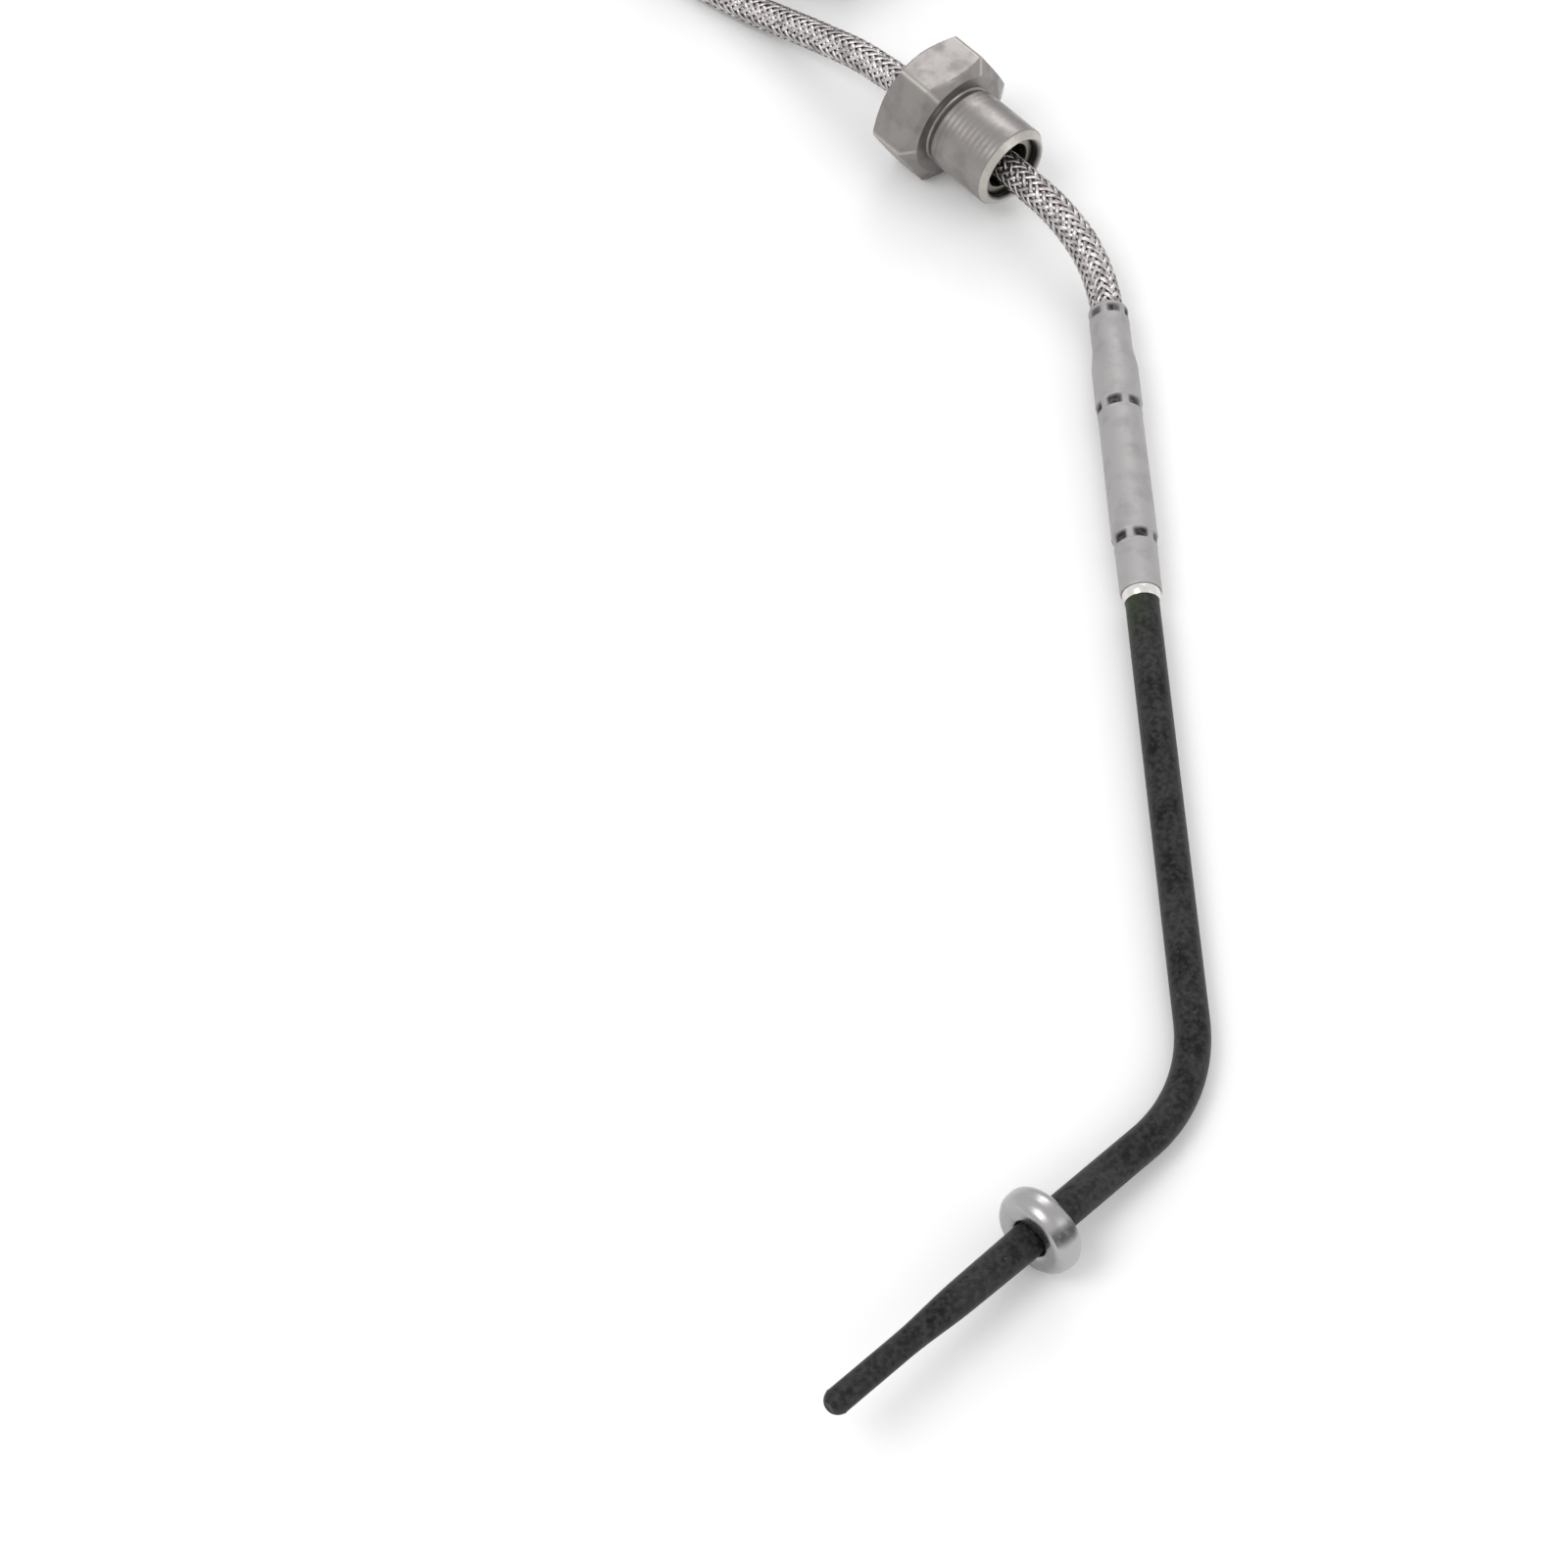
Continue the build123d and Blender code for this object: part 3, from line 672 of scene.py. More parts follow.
# ---------------------------------------------------------------- the stem's line
@dataclass(frozen=True)
class StemLine:
    """The stem's centre line: two straight legs and the bend between them. Sizes in millimetres."""

    corner: Vector = field(default_factory=lambda: Vector((24.42, -66.75, 2.45)))
    long_heading: float = 92.33
    long_rise: float = 0.75
    short_heading: float = 223.9
    short_rise: float = 7.1
    bend: float = 24.6

    @staticmethod
    def heading(degrees: float, rise: float = 0.0) -> Vector:
        """Unit vector with that heading in plan and that rise above the horizontal."""
        flat = math.cos(math.radians(rise))
        turn = math.radians(degrees)
        return Vector((flat * math.cos(turn), flat * math.sin(turn), math.sin(math.radians(rise))))

    @property
    def long_way(self) -> Vector:
        """Direction of the long leg, away from the bend."""
        return self.heading(self.long_heading, self.long_rise)

    @property
    def short_way(self) -> Vector:
        """Direction of the short leg, away from the bend."""
        return self.heading(self.short_heading, self.short_rise)

    @property
    def normal(self) -> Vector:
        """Direction square to the plane of both legs."""
        return self.long_way.cross(self.short_way).normalized()

    def long_place(self) -> Matrix:
        """Frame at the corner with Z along the long leg."""
        return frame_along(self.corner * MM, self.long_way, self.normal)

    def short_place(self) -> Matrix:
        """Frame at the corner with Z along the short leg."""
        return frame_along(self.corner * MM, self.short_way, self.normal)

    def points(self, start: float, end: float) -> list[Vector]:
        """Points of the line in metres, from a distance on the long leg to one on the short leg."""
        half_turn = self.long_way.angle(-self.short_way) / 2
        tangent = self.bend * math.tan(half_turn)
        inward = (self.long_way + self.short_way).normalized()
        centre = self.corner + inward * (self.bend / math.cos(half_turn))
        first = self.corner + self.long_way * tangent - centre
        axis = first.cross(self.corner + self.short_way * tangent - centre).normalized()
        line = [self.corner + self.long_way * (start + (tangent - start) * k / 70) for k in range(70)]
        for step in range(33):
            line.append(centre + Matrix.Rotation(2 * half_turn * step / 32, 3, axis) @ first)
        line += [self.corner + self.short_way * (tangent + (end - tangent) * k / 24) for k in range(1, 25)]
        return [point * MM for point in line]


# ---------------------------------------------------------------- stage
@dataclass
class Studio:
    """Floor, soft lights and the camera. Distances in metres."""

    aim: Vector = field(default_factory=lambda: Vector((-0.03097, -0.0158, 0.0)))
    elevation: float = 57.0
    distance: float = 0.4861
    lens: float = 78.75
    floor_colour: Colour = (0.88, 0.88, 0.88)
    floor_reach: float = 4.0
    floor_gap: float = 0.00005
    surround: float = 0.92

    def camera(self) -> None:
        """Makes the camera that looks down at the part."""
        data = bpy.data.cameras.new("camera")
        data.lens = self.lens
        data.sensor_width = 36.0
        data.clip_start = 0.01
        data.clip_end = 20.0
        camera = linked("camera", data)
        rise = math.radians(self.elevation)
        camera.location = self.aim + Vector((0, -math.cos(rise), math.sin(rise))) * self.distance
        camera.rotation_euler = (math.radians(90 - self.elevation), 0, 0)
        bpy.context.scene.camera = camera

    def floor(self) -> None:
        """Makes the pale floor."""
        mesh = bpy.data.meshes.new("floor")
        reach = self.floor_reach
        corners = [(-reach, -reach, 0), (reach, -reach, 0), (reach, reach, 0), (-reach, reach, 0)]
        mesh.from_pydata(corners, [], [(0, 1, 2, 3)])
        paper = Shader("floor_paper")
        paper.finish(Base_Color=self.floor_colour, Roughness=0.9, Specular_IOR_Level=0.1)
        mesh.materials.append(paper.material)
        floor = linked("floor", mesh)
        floor.location.z = -self.floor_gap

    def light(self, name: str, place: Vector, power: float, size: float) -> None:
        """Makes one soft area light that looks at the part."""
        data = bpy.data.lights.new(name, "AREA")
        data.energy = power
        data.size = size
        lamp = linked(name, data)
        lamp.location = place
        lamp.rotation_euler = (self.aim - place).to_track_quat("-Z", "Y").to_euler()

    def build(self) -> None:
        """Makes the whole stage."""
        self.camera()
        self.floor()
        self.light("key_light", Vector((-0.55, -0.25, 0.95)), 3.2, 0.45)
        self.light("fill_light", Vector((0.85, -0.35, 0.65)), 1.2, 0.6)
        self.light("back_light", Vector((0.15, 0.95, 0.75)), 1.9, 0.5)
        world = bpy.data.worlds.new("studio")
        world.use_nodes = True
        background = world.node_tree.nodes["Background"]
        background.inputs["Color"].default_value = (1.0, 1.0, 1.0, 1.0)
        background.inputs["Strength"].default_value = self.surround
        bpy.context.scene.world = world
        bpy.context.scene.view_settings.view_transform = "Standard"


# ---------------------------------------------------------------- lead
@dataclass
class Lead:
    """The braided lead: its route, its inner jacket and the wire braid round it. Sizes in millimetres."""

    stem: StemLine
    radius: float = 2.6
    jacket: float = 2.16
    entry: float = 129.0
    sleeve_end: float = 135.0
    coil_centre: Vector = field(default_factory=lambda: Vector(COIL_CENTRE))
    coil_radius: float = COIL_RADIUS
    coil_turns: float = 2 + 105 / 360
    coil_start: float = 195.0
    coil_points: int = 18
    carriers: int = 12
    pitch: float = 18.0
    ribbon: float = 0.74
    ribbon_thickness: float = 0.17
    weave: float = 0.13
    step: float = 0.55

    nut_line: Vector = field(default_factory=lambda: Vector((5.3064, 92.2968, 9.05)))
    nut_way: Vector = field(default_factory=lambda: Vector((0.656059, -0.75471, 0.0)))

    def open_route(self) -> list[Vector]:
        """Listed points of the lead from inside the sleeve to the coil."""
        return [
            self.stem.corner + self.stem.long_way * self.entry,
            self.stem.corner + self.stem.long_way * (self.sleeve_end + 1.0),
            Vector((17.6, 75.0, 5.5)),
            Vector((15.4, 79.9, 6.9)),
            Vector((12.1, 84.4, 8.4)),
            self.nut_line + self.nut_way * 4.5,
            self.nut_line - self.nut_way * 31.0,
            Vector((-25.9, 125.7, 5.9)),
            Vector((-35.9, 134.1, 3.2)),
            Vector((-46.1, 141.9, 2.6)),
            Vector((-54.2, 151.9, 2.6)),
        ]

    def coil_route(self) -> list[Vector]:
        """Points of the coil's turns, each turn a diameter above the one before."""
        count = round(self.coil_turns * self.coil_points)
        points = []
        for index in range(count + 1):
            turn = self.coil_turns * index / count
            climb = max(0.0, (turn % 1.0 - 0.62) / 0.38)
            climb = climb * climb * (3 - 2 * climb)
            height = self.radius + 2 * self.radius * (math.floor(turn) + climb)
            spoke = StemLine.heading(self.coil_start - 360 * turn) * self.coil_radius
            points.append(self.coil_centre + spoke + Vector((0, 0, height)))
        return points

    def tail_route(self) -> list[Vector]:
        """Listed points from the top of the coil down to the connector."""
        return [
            Vector((-17.4, 199.9, 11.8)),
            Vector((-4.6, 198.2, 8.4)),
            Vector((5.8, 197.9, 6.0)),
            Vector((17.0, 197.9, 6.0)),
        ]

    def spline(self, name: str, bevel: float) -> Piece:
        """One smooth open curve through the whole route, as thick as asked.

        Args:
            name: the curve's name.
            bevel: its radius in millimetres, or 0 for a bare line.

        Returns:
            The curve object.
        """
        route = self.open_route() + self.coil_route() + self.tail_route()
        data = bpy.data.curves.new(name, "CURVE")
        data.dimensions = "3D"
        data.resolution_u = 12
        line = data.splines.new("NURBS")
        line.points.add(len(route) - 1)
        for point, place in zip(line.points, route):
            point.co = (*(place * MM), 1.0)
        line.order_u = 3
        line.use_endpoint_u = True
        data.bevel_depth = bevel * MM
        data.bevel_resolution = 5
        data.use_fill_caps = True
        return linked(name, data)

    def line(self) -> list[Vector]:
        """Points read from the route's own curve."""
        bare = self.spline("lead_line", 0.0)
        graph = bpy.context.evaluated_depsgraph_get()
        mesh = bpy.data.meshes.new_from_object(bare.evaluated_get(graph))
        points = [vert.co.copy() for vert in mesh.vertices]
        bpy.data.meshes.remove(mesh)
        bpy.data.objects.remove(bare)
        return points

    def braid_tree(self, material: Material, sense: int) -> GeometryTree:
        """Geometry Nodes that lay carriers in one sense round a line, over and under the other sense's.

        Args:
            material: the braid's material.
            sense: 1 for carriers that turn one way and -1 for the other way.

        Returns:
            The tree.
        """
        sizes = {
            "Radius": (self.radius - self.ribbon_thickness / 2 - self.weave) * MM,
            "Pitch": self.pitch * MM,
            "Carriers": self.carriers,
            "Ribbon Width": self.ribbon * MM,
            "Ribbon Thickness": self.ribbon_thickness * MM,
            "Weave": self.weave * MM,
            "Step": self.step * MM,
            "Sense": float(sense),
        }
        g = GeometryTree(f"braid_{'left' if sense < 0 else 'right'}", sizes)
        line = g.add("GeometryNodeMeshToCurve", {}, {0: g.given.outputs["Geometry"]}).outputs[0]
        spacing = {"Curve": line, "Length": g.size("Step")}
        even = g.add("GeometryNodeResampleCurve", {"mode": "LENGTH"}, spacing)
        normal = g.add("GeometryNodeInputNormal").outputs[0]
        tangent = g.add("GeometryNodeInputTangent").outputs[0]
        run = g.add("GeometryNodeSplineParameter").outputs["Length"]
        kept = even.outputs[0]
        caught = []
        for kind, source in (("VECTOR", normal), ("VECTOR", tangent), ("FLOAT", run)):
            capture = g.add("GeometryNodeCaptureAttribute", {"domain": "POINT"})
            capture.capture_items.new(kind, "kept")
            g.tree.links.new(kept, capture.inputs[0])
            g.tree.links.new(source, capture.inputs[1])
            kept = capture.outputs[0]
            caught.append(capture.outputs[1])
        normal, tangent, run = caught
        each = {0: kept, "Amount": g.size("Carriers")}
        copies = g.add("GeometryNodeDuplicateElements", {"domain": "SPLINE"}, each)
        index = copies.outputs["Duplicate Index"]
        share = g.maths("DIVIDE", index, g.size("Carriers"))
        turned = g.maths("MULTIPLY", g.maths("DIVIDE", run, g.size("Pitch")), g.size("Sense"))
        angle = g.maths("MULTIPLY", g.maths("ADD", share, turned), 2 * math.pi)
        side = g.vector("CROSS_PRODUCT", {0: tangent, 1: normal})
        forward = g.vector("SCALE", {0: normal, "Scale": g.maths("COSINE", angle)})
        sideways = g.vector("SCALE", {0: side, "Scale": g.maths("SINE", angle)})
        spoke = g.vector("ADD", {0: forward, 1: sideways})
        crossings = g.maths("MULTIPLY", g.maths("MULTIPLY", turned, g.size("Carriers")), 2.0)
        count = g.maths("ADD", g.maths("MULTIPLY", index, 2.0), crossings)
        phase = g.maths("MULTIPLY", g.maths("SUBTRACT", count, 0.5), math.pi / 2)
        wave = g.maths("MULTIPLY", g.maths("COSINE", phase), 1.25)
        wave = g.maths("MULTIPLY", wave, g.size("Sense"))
        clipped = g.maths("MAXIMUM", g.maths("MINIMUM", wave, 1.0), -1.0)
        reach = g.maths("ADD", g.size("Radius"), g.maths("MULTIPLY", clipped, g.size("Weave")))
        offset = g.vector("SCALE", {0: spoke, "Scale": reach})
        moved = g.add("GeometryNodeSetPosition", {}, {0: copies.outputs[0], "Offset": offset}).outputs[0]
        facing = g.add("GeometryNodeSetCurveNormal", {"mode": "FREE"}, {"Curve": moved, "Normal": spoke})
        g.finish(self.ribbon_sections(g, facing.outputs[0]), material)
        return g

    @staticmethod
    def ribbon_sections(g: GeometryTree, curve: Socket) -> Socket:
        """Gives each carrier its flat section, and stores where across it each point lies."""
        six_sided = {"Resolution": 6, "Radius": 0.5}
        ring = g.add("GeometryNodeCurvePrimitiveCircle", {"mode": "RADIUS"}, six_sided)
        place = g.add("GeometryNodeInputPosition").outputs[0]
        axes = g.add("ShaderNodeSeparateXYZ", {}, {0: place})
        store = g.add("GeometryNodeStoreNamedAttribute", {"data_type": "FLOAT", "domain": "POINT"})
        store.inputs["Name"].default_value = "across"
        g.tree.links.new(ring.outputs[0], store.inputs[0])
        g.tree.links.new(g.maths("ADD", axes.outputs[1], 0.5), store.inputs["Value"])
        flat = g.triple({0: g.size("Ribbon Thickness"), 1: g.size("Ribbon Width"), 2: 1.0})
        sized = g.add("GeometryNodeTransform", {}, {0: store.outputs[0], "Scale": flat})
        solid = g.add("GeometryNodeCurveToMesh", {}, {0: curve, 1: sized.outputs[0], "Fill Caps": True})
        return solid.outputs[0]

    def braid(self, name: str, points: Sequence[Vector], wire: Material) -> list[Piece]:
        """Braids the lead, one piece for each sense."""
        pieces = []
        for sense, word in ((1, "right"), (-1, "left")):
            mesh = bpy.data.meshes.new(f"{name}_line")
            mesh.from_pydata(points, [(k, k + 1) for k in range(len(points) - 1)], [])
            line = linked(f"{name}_line", mesh)
            piece = self.braid_tree(wire, sense).run(line, f"{name}_{word}")
            for polygon in piece.data.polygons:
                polygon.use_smooth = True
            LOG.info("%s has %d faces", piece.name, len(piece.data.polygons))
            pieces.append(settle(piece, PROBE_BODY, "braid_steel"))
        return pieces

    def build(self, with_pieces: Callable[[], list[Piece]]) -> None:
        wire = BraidedWire("braid_wire").make()
        dark, light = (0.035, 0.032, 0.031), (0.07, 0.064, 0.06)
        jacket = PlainFinish("lead_jacket", dark, light, 0.7, grain=0.15).make()
        core = self.spline("lead_jacket", self.jacket)
        core.data.materials.append(jacket)
        settle(core, PROBE_BODY, "braid_steel", "lead", "lead_coil", "lead_tail")
        points = self.line()
        braids = self.braid("lead_braid", points, wire)
        exit_point = (self.stem.corner + self.stem.long_way * self.entry) * MM
        braids + with_pieces()


# ---------------------------------------------------------------- stem, tip and collar
@dataclass
class Stem:
    """The heat-darkened sheath, its tip and the sealing collar. Sizes in millimetres."""

    line: StemLine
    radius: float = 2.5
    wall: float = 0.5
    into_sleeve: float = 89.0
    sleeve_mouth: float = 81.8
    joint: float = 31.4
    straight_end: float = 47.4
    taper_end: float = 55.1
    tube_end: float = 68.2
    tip_radius: float = 1.78
    tip_wall: float = 0.42
    shrink: float = 0.25
    dimple: float = 0.85
    dimple_depth: float = 0.30
    weld_height: float = 0.4
    collar_back: float = 29.0
    # Where the painted dark reflection band sits round the collar's rim, and its half width in degrees.
    reflection_band_angle: float = math.radians(-34.0)
    reflection_band_half: float = 15.0

    def sheath(self) -> Material:
        """The sheath's own finish, tinted where it runs into the sleeve."""
        start = (self.line.corner + self.line.long_way * self.sleeve_mouth) * MM
        return ScaledSheath("scaled_sheath", self.line.long_way, start).make()

    def tip_outline(self) -> list[tuple[float, float]]:
        """Outline of the tip's wall, with a soft shoulder at each end of its taper."""
        outside = [(self.radius, self.joint), (self.radius - self.shrink, self.straight_end)]
        outside += [(self.tip_radius, self.taper_end), (self.tip_radius, self.tube_end)]
        bore = [(radius - self.tip_wall, height) for radius, height in reversed(outside)]
        return rounded(outside + bore, 2.2, 6)

    def cap_outline(self) -> list[tuple[float, float]]:
        """Outline of the closed end: a weld ring, a ball and a shallow dimple in its middle."""
        bead, step_up = 0.05, 0.18
        ring = [(0.0, self.tube_end), (self.tip_radius, self.tube_end)]
        ring += [(self.tip_radius + bead, self.tube_end + step_up)]
        ball = []
        for step in range(1, 15):
            turn = math.pi / 2 * step / 15
            reach = self.tip_radius * math.cos(turn)
            sunk = self.dimple_depth * max(0.0, 1 - (reach / self.dimple) ** 2)
            ball.append((reach, self.tube_end + self.tip_radius * math.sin(turn) - sunk))
        top = self.tube_end + self.tip_radius - self.dimple_depth
        above_weld = [point for point in ball if point[1] > self.tube_end + self.weld_height]
        return ring + above_weld + [(0.0, top)]

    def collar_outline(self) -> list[tuple[float, float]]:
        """Outline of the collar: chamfered back, rim, seat cone, and a small fillet at the tube."""
        back = self.collar_back
        rim = [(5.0, back + 0.2), (6.15, back + 1.3), (6.15, back + 3.3), (5.2, back + 4.7)]
        return rounded([(2.5, back + 0.2), *rim, (2.5, back + 4.7)], 1.0, 8)

    def collar_painted_reflection(self, angle: float, height: float, radius: float) -> float:
        """A painted dark reflection band along the rim on one side."""
        off = abs((angle - self.reflection_band_angle + math.pi) % (2 * math.pi) - math.pi)
        return 0.9 * max(0.0, 1 - (off / math.radians(self.reflection_band_half)) ** 2) if radius > 5.3 else 0.0

    def build(self) -> None:
        """Makes the stem, its tip and its collar."""
        sheath = self.sheath()
        line = self.line.points(self.into_sleeve, self.joint)
        mesh = swept("stem_sheath", line, self.radius, self.radius - self.wall, self.line.normal)
        tube = new_piece("stem_sheath", mesh, sheath)
        settle(tube, PROBE_BODY, "oxidised_steel", "stem_tube")
        place = self.line.short_place()
        tip = new_piece("tip_tube", lathe("tip_tube", self.tip_outline(), place, 72), sheath)
        settle(tip, PROBE_BODY, "oxidised_steel", "tip_sheath")
        cap = new_piece("tip_weld", lathe("tip_weld", self.cap_outline(), place, 72), sheath, 60.0)
        settle(cap, PROBE_BODY, "oxidised_steel", "tip_cap")
        steel = WorkedSteel(
            "collar_steel",
            self.line.short_way,
            self.line.corner * MM,
            colour=(0.42, 0.412, 0.415),
            stain=(0.35, 0.342, 0.342),
            rough=0.26,
            mark_size=0.07,
        ).make()
        mesh = lathe("seat_collar", self.collar_outline(), place, 144, marks=self.collar_painted_reflection)
        collar = new_piece("seat_collar", mesh, steel)
        settle(collar, PROBE_BODY, "collar_steel", "collar")


# ---------------------------------------------------------------- crimp sleeve
@dataclass
class CrimpSleeve:
    """The sleeve with its rings of crimp dents, and the bush in its mouth. Sizes in millimetres."""

    line: StemLine
    start: float = 81.8
    end: float = 135.0
    bore: float = 2.88
    crimps: tuple[float, float] = (90.8, 115.6)
    crimp_half: float = 0.85
    crimp_depth: float = 0.45
    crimp_count: int = 6
    crimp_arc: float = 46.0
    neck_crimp: float = 133.6
    neck_depth: float = 0.42
    row_step: float = 0.14

    def profile(self) -> list[tuple[float, float]]:
        """Outer outline as (radius, distance from the corner)."""
        first, second = self.crimps
        mouth = [(3.02, self.start), (3.1, self.start + 0.4), (3.16, first - 0.8)]
        middle = [(3.42, first + 1.2), (3.35, second - 1.0), (3.55, second + 1.0)]
        neck = [(3.55, 123.6), (3.08, 127.3), (3.08, self.end - 0.3), (2.9, self.end)]
        return mouth + middle + neck

    def outline(self) -> list[tuple[float, float]]:
        """Closed outline, with many rows where the dents are."""
        points = rounded(self.profile(), 0.5, 4, closed=False)
        outer = [points[0]]
        for (r0, h0), (r1, h1) in zip(points, points[1:]):
            near = any(h0 < c + 2 and h1 > c - 2 for c in (*self.crimps, self.neck_crimp))
            steps = max(1, math.ceil((h1 - h0) / (self.row_step if near else 1.5)))
            outer += [(r0 + (r1 - r0) * k / steps, h0 + (h1 - h0) * k / steps) for k in range(1, steps + 1)]
        inner = [(2.6, self.end), (2.6, 126.2), (self.bore, 125.7), (self.bore, self.start)]
        return outer + inner

    def dent(self, angle: float, height: float, radius: float) -> float:
        """How deep a crimp dent is at a place, from 0 to 1."""
        if radius < self.bore + 0.1:
            return 0.0
        deepest = 0.0
        for index, place in enumerate((*self.crimps, self.neck_crimp)):
            run = 1 - (abs(height - place) / self.crimp_half) ** 4
            if run <= 0:
                continue
            pitch = 2 * math.pi / self.crimp_count
            turn = (angle - (index % 2) * pitch / 2 + pitch / 2) % pitch - pitch / 2
            width = 1 - (abs(turn) / math.radians(self.crimp_arc / 2)) ** 4
            count = math.floor((angle - (index % 2) * pitch / 2 + pitch / 2) / pitch)
            strike = 0.82 + 0.18 * math.cos(2.3 * count + 1.7 * index)
            deepest = max(deepest, run * strike * max(0.0, width))
        return deepest

    def relief(self, angle: float, height: float, radius: float) -> float:
        """Radius lost to a dent, with a small ridge pushed up round it."""
        in_wall = min(self.crimp_depth, radius - self.bore - 0.05)
        depth = self.neck_depth if height > self.neck_crimp - 2 else in_wall
        ridge = 0.0
        for place in self.crimps:
            gap = abs(abs(height - place) - self.crimp_half - 0.18)
            ridge = max(ridge, 0.07 * max(0.0, 1 - gap / 0.25)) if radius > self.bore + 0.1 else 0.0
        return ridge - depth * self.dent(angle, height, radius)

    def painted_light_and_wear(self, angle: float, height: float, radius: float) -> float:
        """Painted shade in the dents, those of the neck at the lead end too."""
        dent = self.dent(angle, height, radius)
        # Painted shade, strongest where a dent is deepest.
        return min(1.0, 1.35 * dent**1.2)

    def build(self) -> None:
        """Makes the sleeve and the bush."""
        place = self.line.long_place()
        origin = self.line.corner * MM
        steel = WorkedSteel(
            "sleeve_steel",
            self.line.long_way,
            origin,
            colour=(0.435, 0.42, 0.423),
            stain=(0.39, 0.376, 0.379),
            rough=0.62,
            marks=(1.0, 1.0, 0.03),
            mark_size=0.12,
        ).make()
        # The dents carry painted shade.
        mesh = lathe("sleeve_rolled", self.outline(), place, 144, self.relief, self.painted_light_and_wear)
        settle(new_piece("sleeve_rolled", mesh, steel, 38.0), PROBE_BODY, "sleeve_steel", "crimp_sleeve")
        bright = WorkedSteel(
            "bush_steel",
            self.line.long_way,
            origin,
            colour=(0.74, 0.73, 0.71),
            stain=(0.56, 0.55, 0.53),
            rough=0.24,
            mark_size=0.06,
        ).make()
        bush = rounded([(2.5, 80.2), (2.62, 80.2), (2.86, 81.1), (2.86, 89.0), (2.5, 89.0)], 0.1, 3)
        piece = new_piece("mouth_bush", lathe("mouth_bush", bush, place, 96), bright)
        settle(piece, PROBE_BODY, "bright_steel", "stem_bush")


# ---------------------------------------------------------------- union nut
@dataclass
class UnionNut:
    """Hollow hexagon nut with a threaded shank, and the thrust ring in its mouth. Sizes in millimetres."""

    mouth: Vector = field(default_factory=lambda: Vector((5.08, 92.1, 10.0)))
    way: Vector = field(default_factory=lambda: StemLine.heading(-49.0))
    flats: float = 20.0
    shank: float = 13.0
    hexagon: float = 9.0
    thread_radius: float = 6.95
    pitch: float = 1.0
    thread_depth: float = 0.022
    crest: float = 0.90
    chamfer: float = 1.2
    undercut: float = 6.6
    undercut_width: float = 1.0
    bore: float = 4.1
    counterbore: float = 5.25
    counterbore_depth: float = 3.6
    mouth_radius: float = 5.75
    face_share: float = 0.88
    corner_limit: float = 11.38
    rows_per_pitch: int = 10

    @property
    def back(self) -> float:
        """Height of the hexagon's back face."""
        return -self.shank - self.hexagon

    def place(self) -> Matrix:
        """Frame at the mouth with Z out of it and a corner of the hexagon along X."""
        return frame_along(self.mouth * MM, self.way, Vector((-self.way.y, self.way.x, 0.0)))

    def angles(self) -> list[float]:
        """Steps round the nut, closer together at the corners of the hexagon."""
        sector = [0.0, 0.7, 1.6, 3.2, 6.0, 10.0, 15.0, 20.0, 25.0, 30.0]
        sector += [60 - turn for turn in reversed(sector[1:-1])]
        return [math.radians(60 * side + turn) for side in range(6) for turn in sector]

    def outline(self) -> list[tuple[float, float]]:
        """Closed outline. The relief cuts the hexagon and the thread out of it."""
        front = -self.shank
        face = self.face_share * self.flats / 2
        outside = self.corner_limit + 0.02
        slope = self.crown_slope()
        rows = [(4.7, self.back), (face - 0.3, self.back), (face, self.back)]
        rows += [(outside, self.back + slope * k / 10) for k in range(1, 11)]
        rows += [(outside, self.back + slope + (self.hexagon - 2 * slope) * k / 5) for k in range(1, 5)]
        rows += [(outside, front - slope * k / 10) for k in range(10, 0, -1)]
        rows += [(face, front), (face - 0.3, front)]
        rows += [(self.undercut + 0.25, front), (self.undercut, front + 0.25)]
        start = front + self.undercut_width + 0.2
        outer = self.thread_radius
        rows += [(self.undercut, start - 0.7), (outer - 0.06, start - 0.06), (outer, start)]
        end = -self.chamfer
        count = round((end - start) / self.pitch * self.rows_per_pitch)
        rows += [(outer, start + (end - start) * k / count) for k in range(1, count + 1)]
        rim = outer - 0.8 * self.chamfer
        rows += [(outer + (rim - outer) * k / 8, end - end * k / 8) for k in range(1, 8)]
        rows += [(rim + 0.04, -0.06), (rim - 0.06, 0.0), (self.mouth_radius + 0.08, 0.0)]
        rows += [(self.mouth_radius - 0.06, -0.07)]
        rows += [(self.counterbore, self.counterbore - self.mouth_radius)]
        rows += [(self.counterbore, -self.counterbore_depth), (self.bore, -self.counterbore_depth)]
        rows += [(self.bore, -9.0), (self.bore, -16.0), (self.bore, self.back + 0.6)]
        return rows

    def crown_slope(self) -> float:
        """Length of the chamfer at each end of the hexagon."""
        corner = self.flats / 2 / math.cos(math.radians(30)) + 0.2
        return (corner - self.face_share * self.flats / 2) * math.tan(math.radians(30))

    def relief(self, angle: float, height: float, radius: float) -> float:
        """Cuts the hexagon with its crowned ends, and the thread."""
        face = self.face_share * self.flats / 2
        if radius > face + 0.01:
            flat = self.flats / 2 / math.cos((angle % math.radians(60)) - math.radians(30))
            from_end = min(height - self.back, -self.shank - height)
            crown = face + from_end / math.tan(math.radians(30))
            return min(flat, crown, self.corner_limit) - radius
        in_thread = -self.shank + self.undercut_width < height < -0.05 and radius > self.mouth_radius + 0.6
        if not in_thread:
            return 0.0
        phase = (height / self.pitch - angle / (2 * math.pi)) % 1.0
        groove = max(0.0, 1 - abs(phase - 0.5) * 2 / self.crest)
        core = self.mouth_radius + 0.4
        fade = min(1.0, max(0.0, (radius - core) / (self.thread_radius - core)))
        lead_in = min(1.0, max(0.0, (height + self.shank - self.undercut_width) / 0.8))
        return -self.thread_depth * groove * fade * lead_in

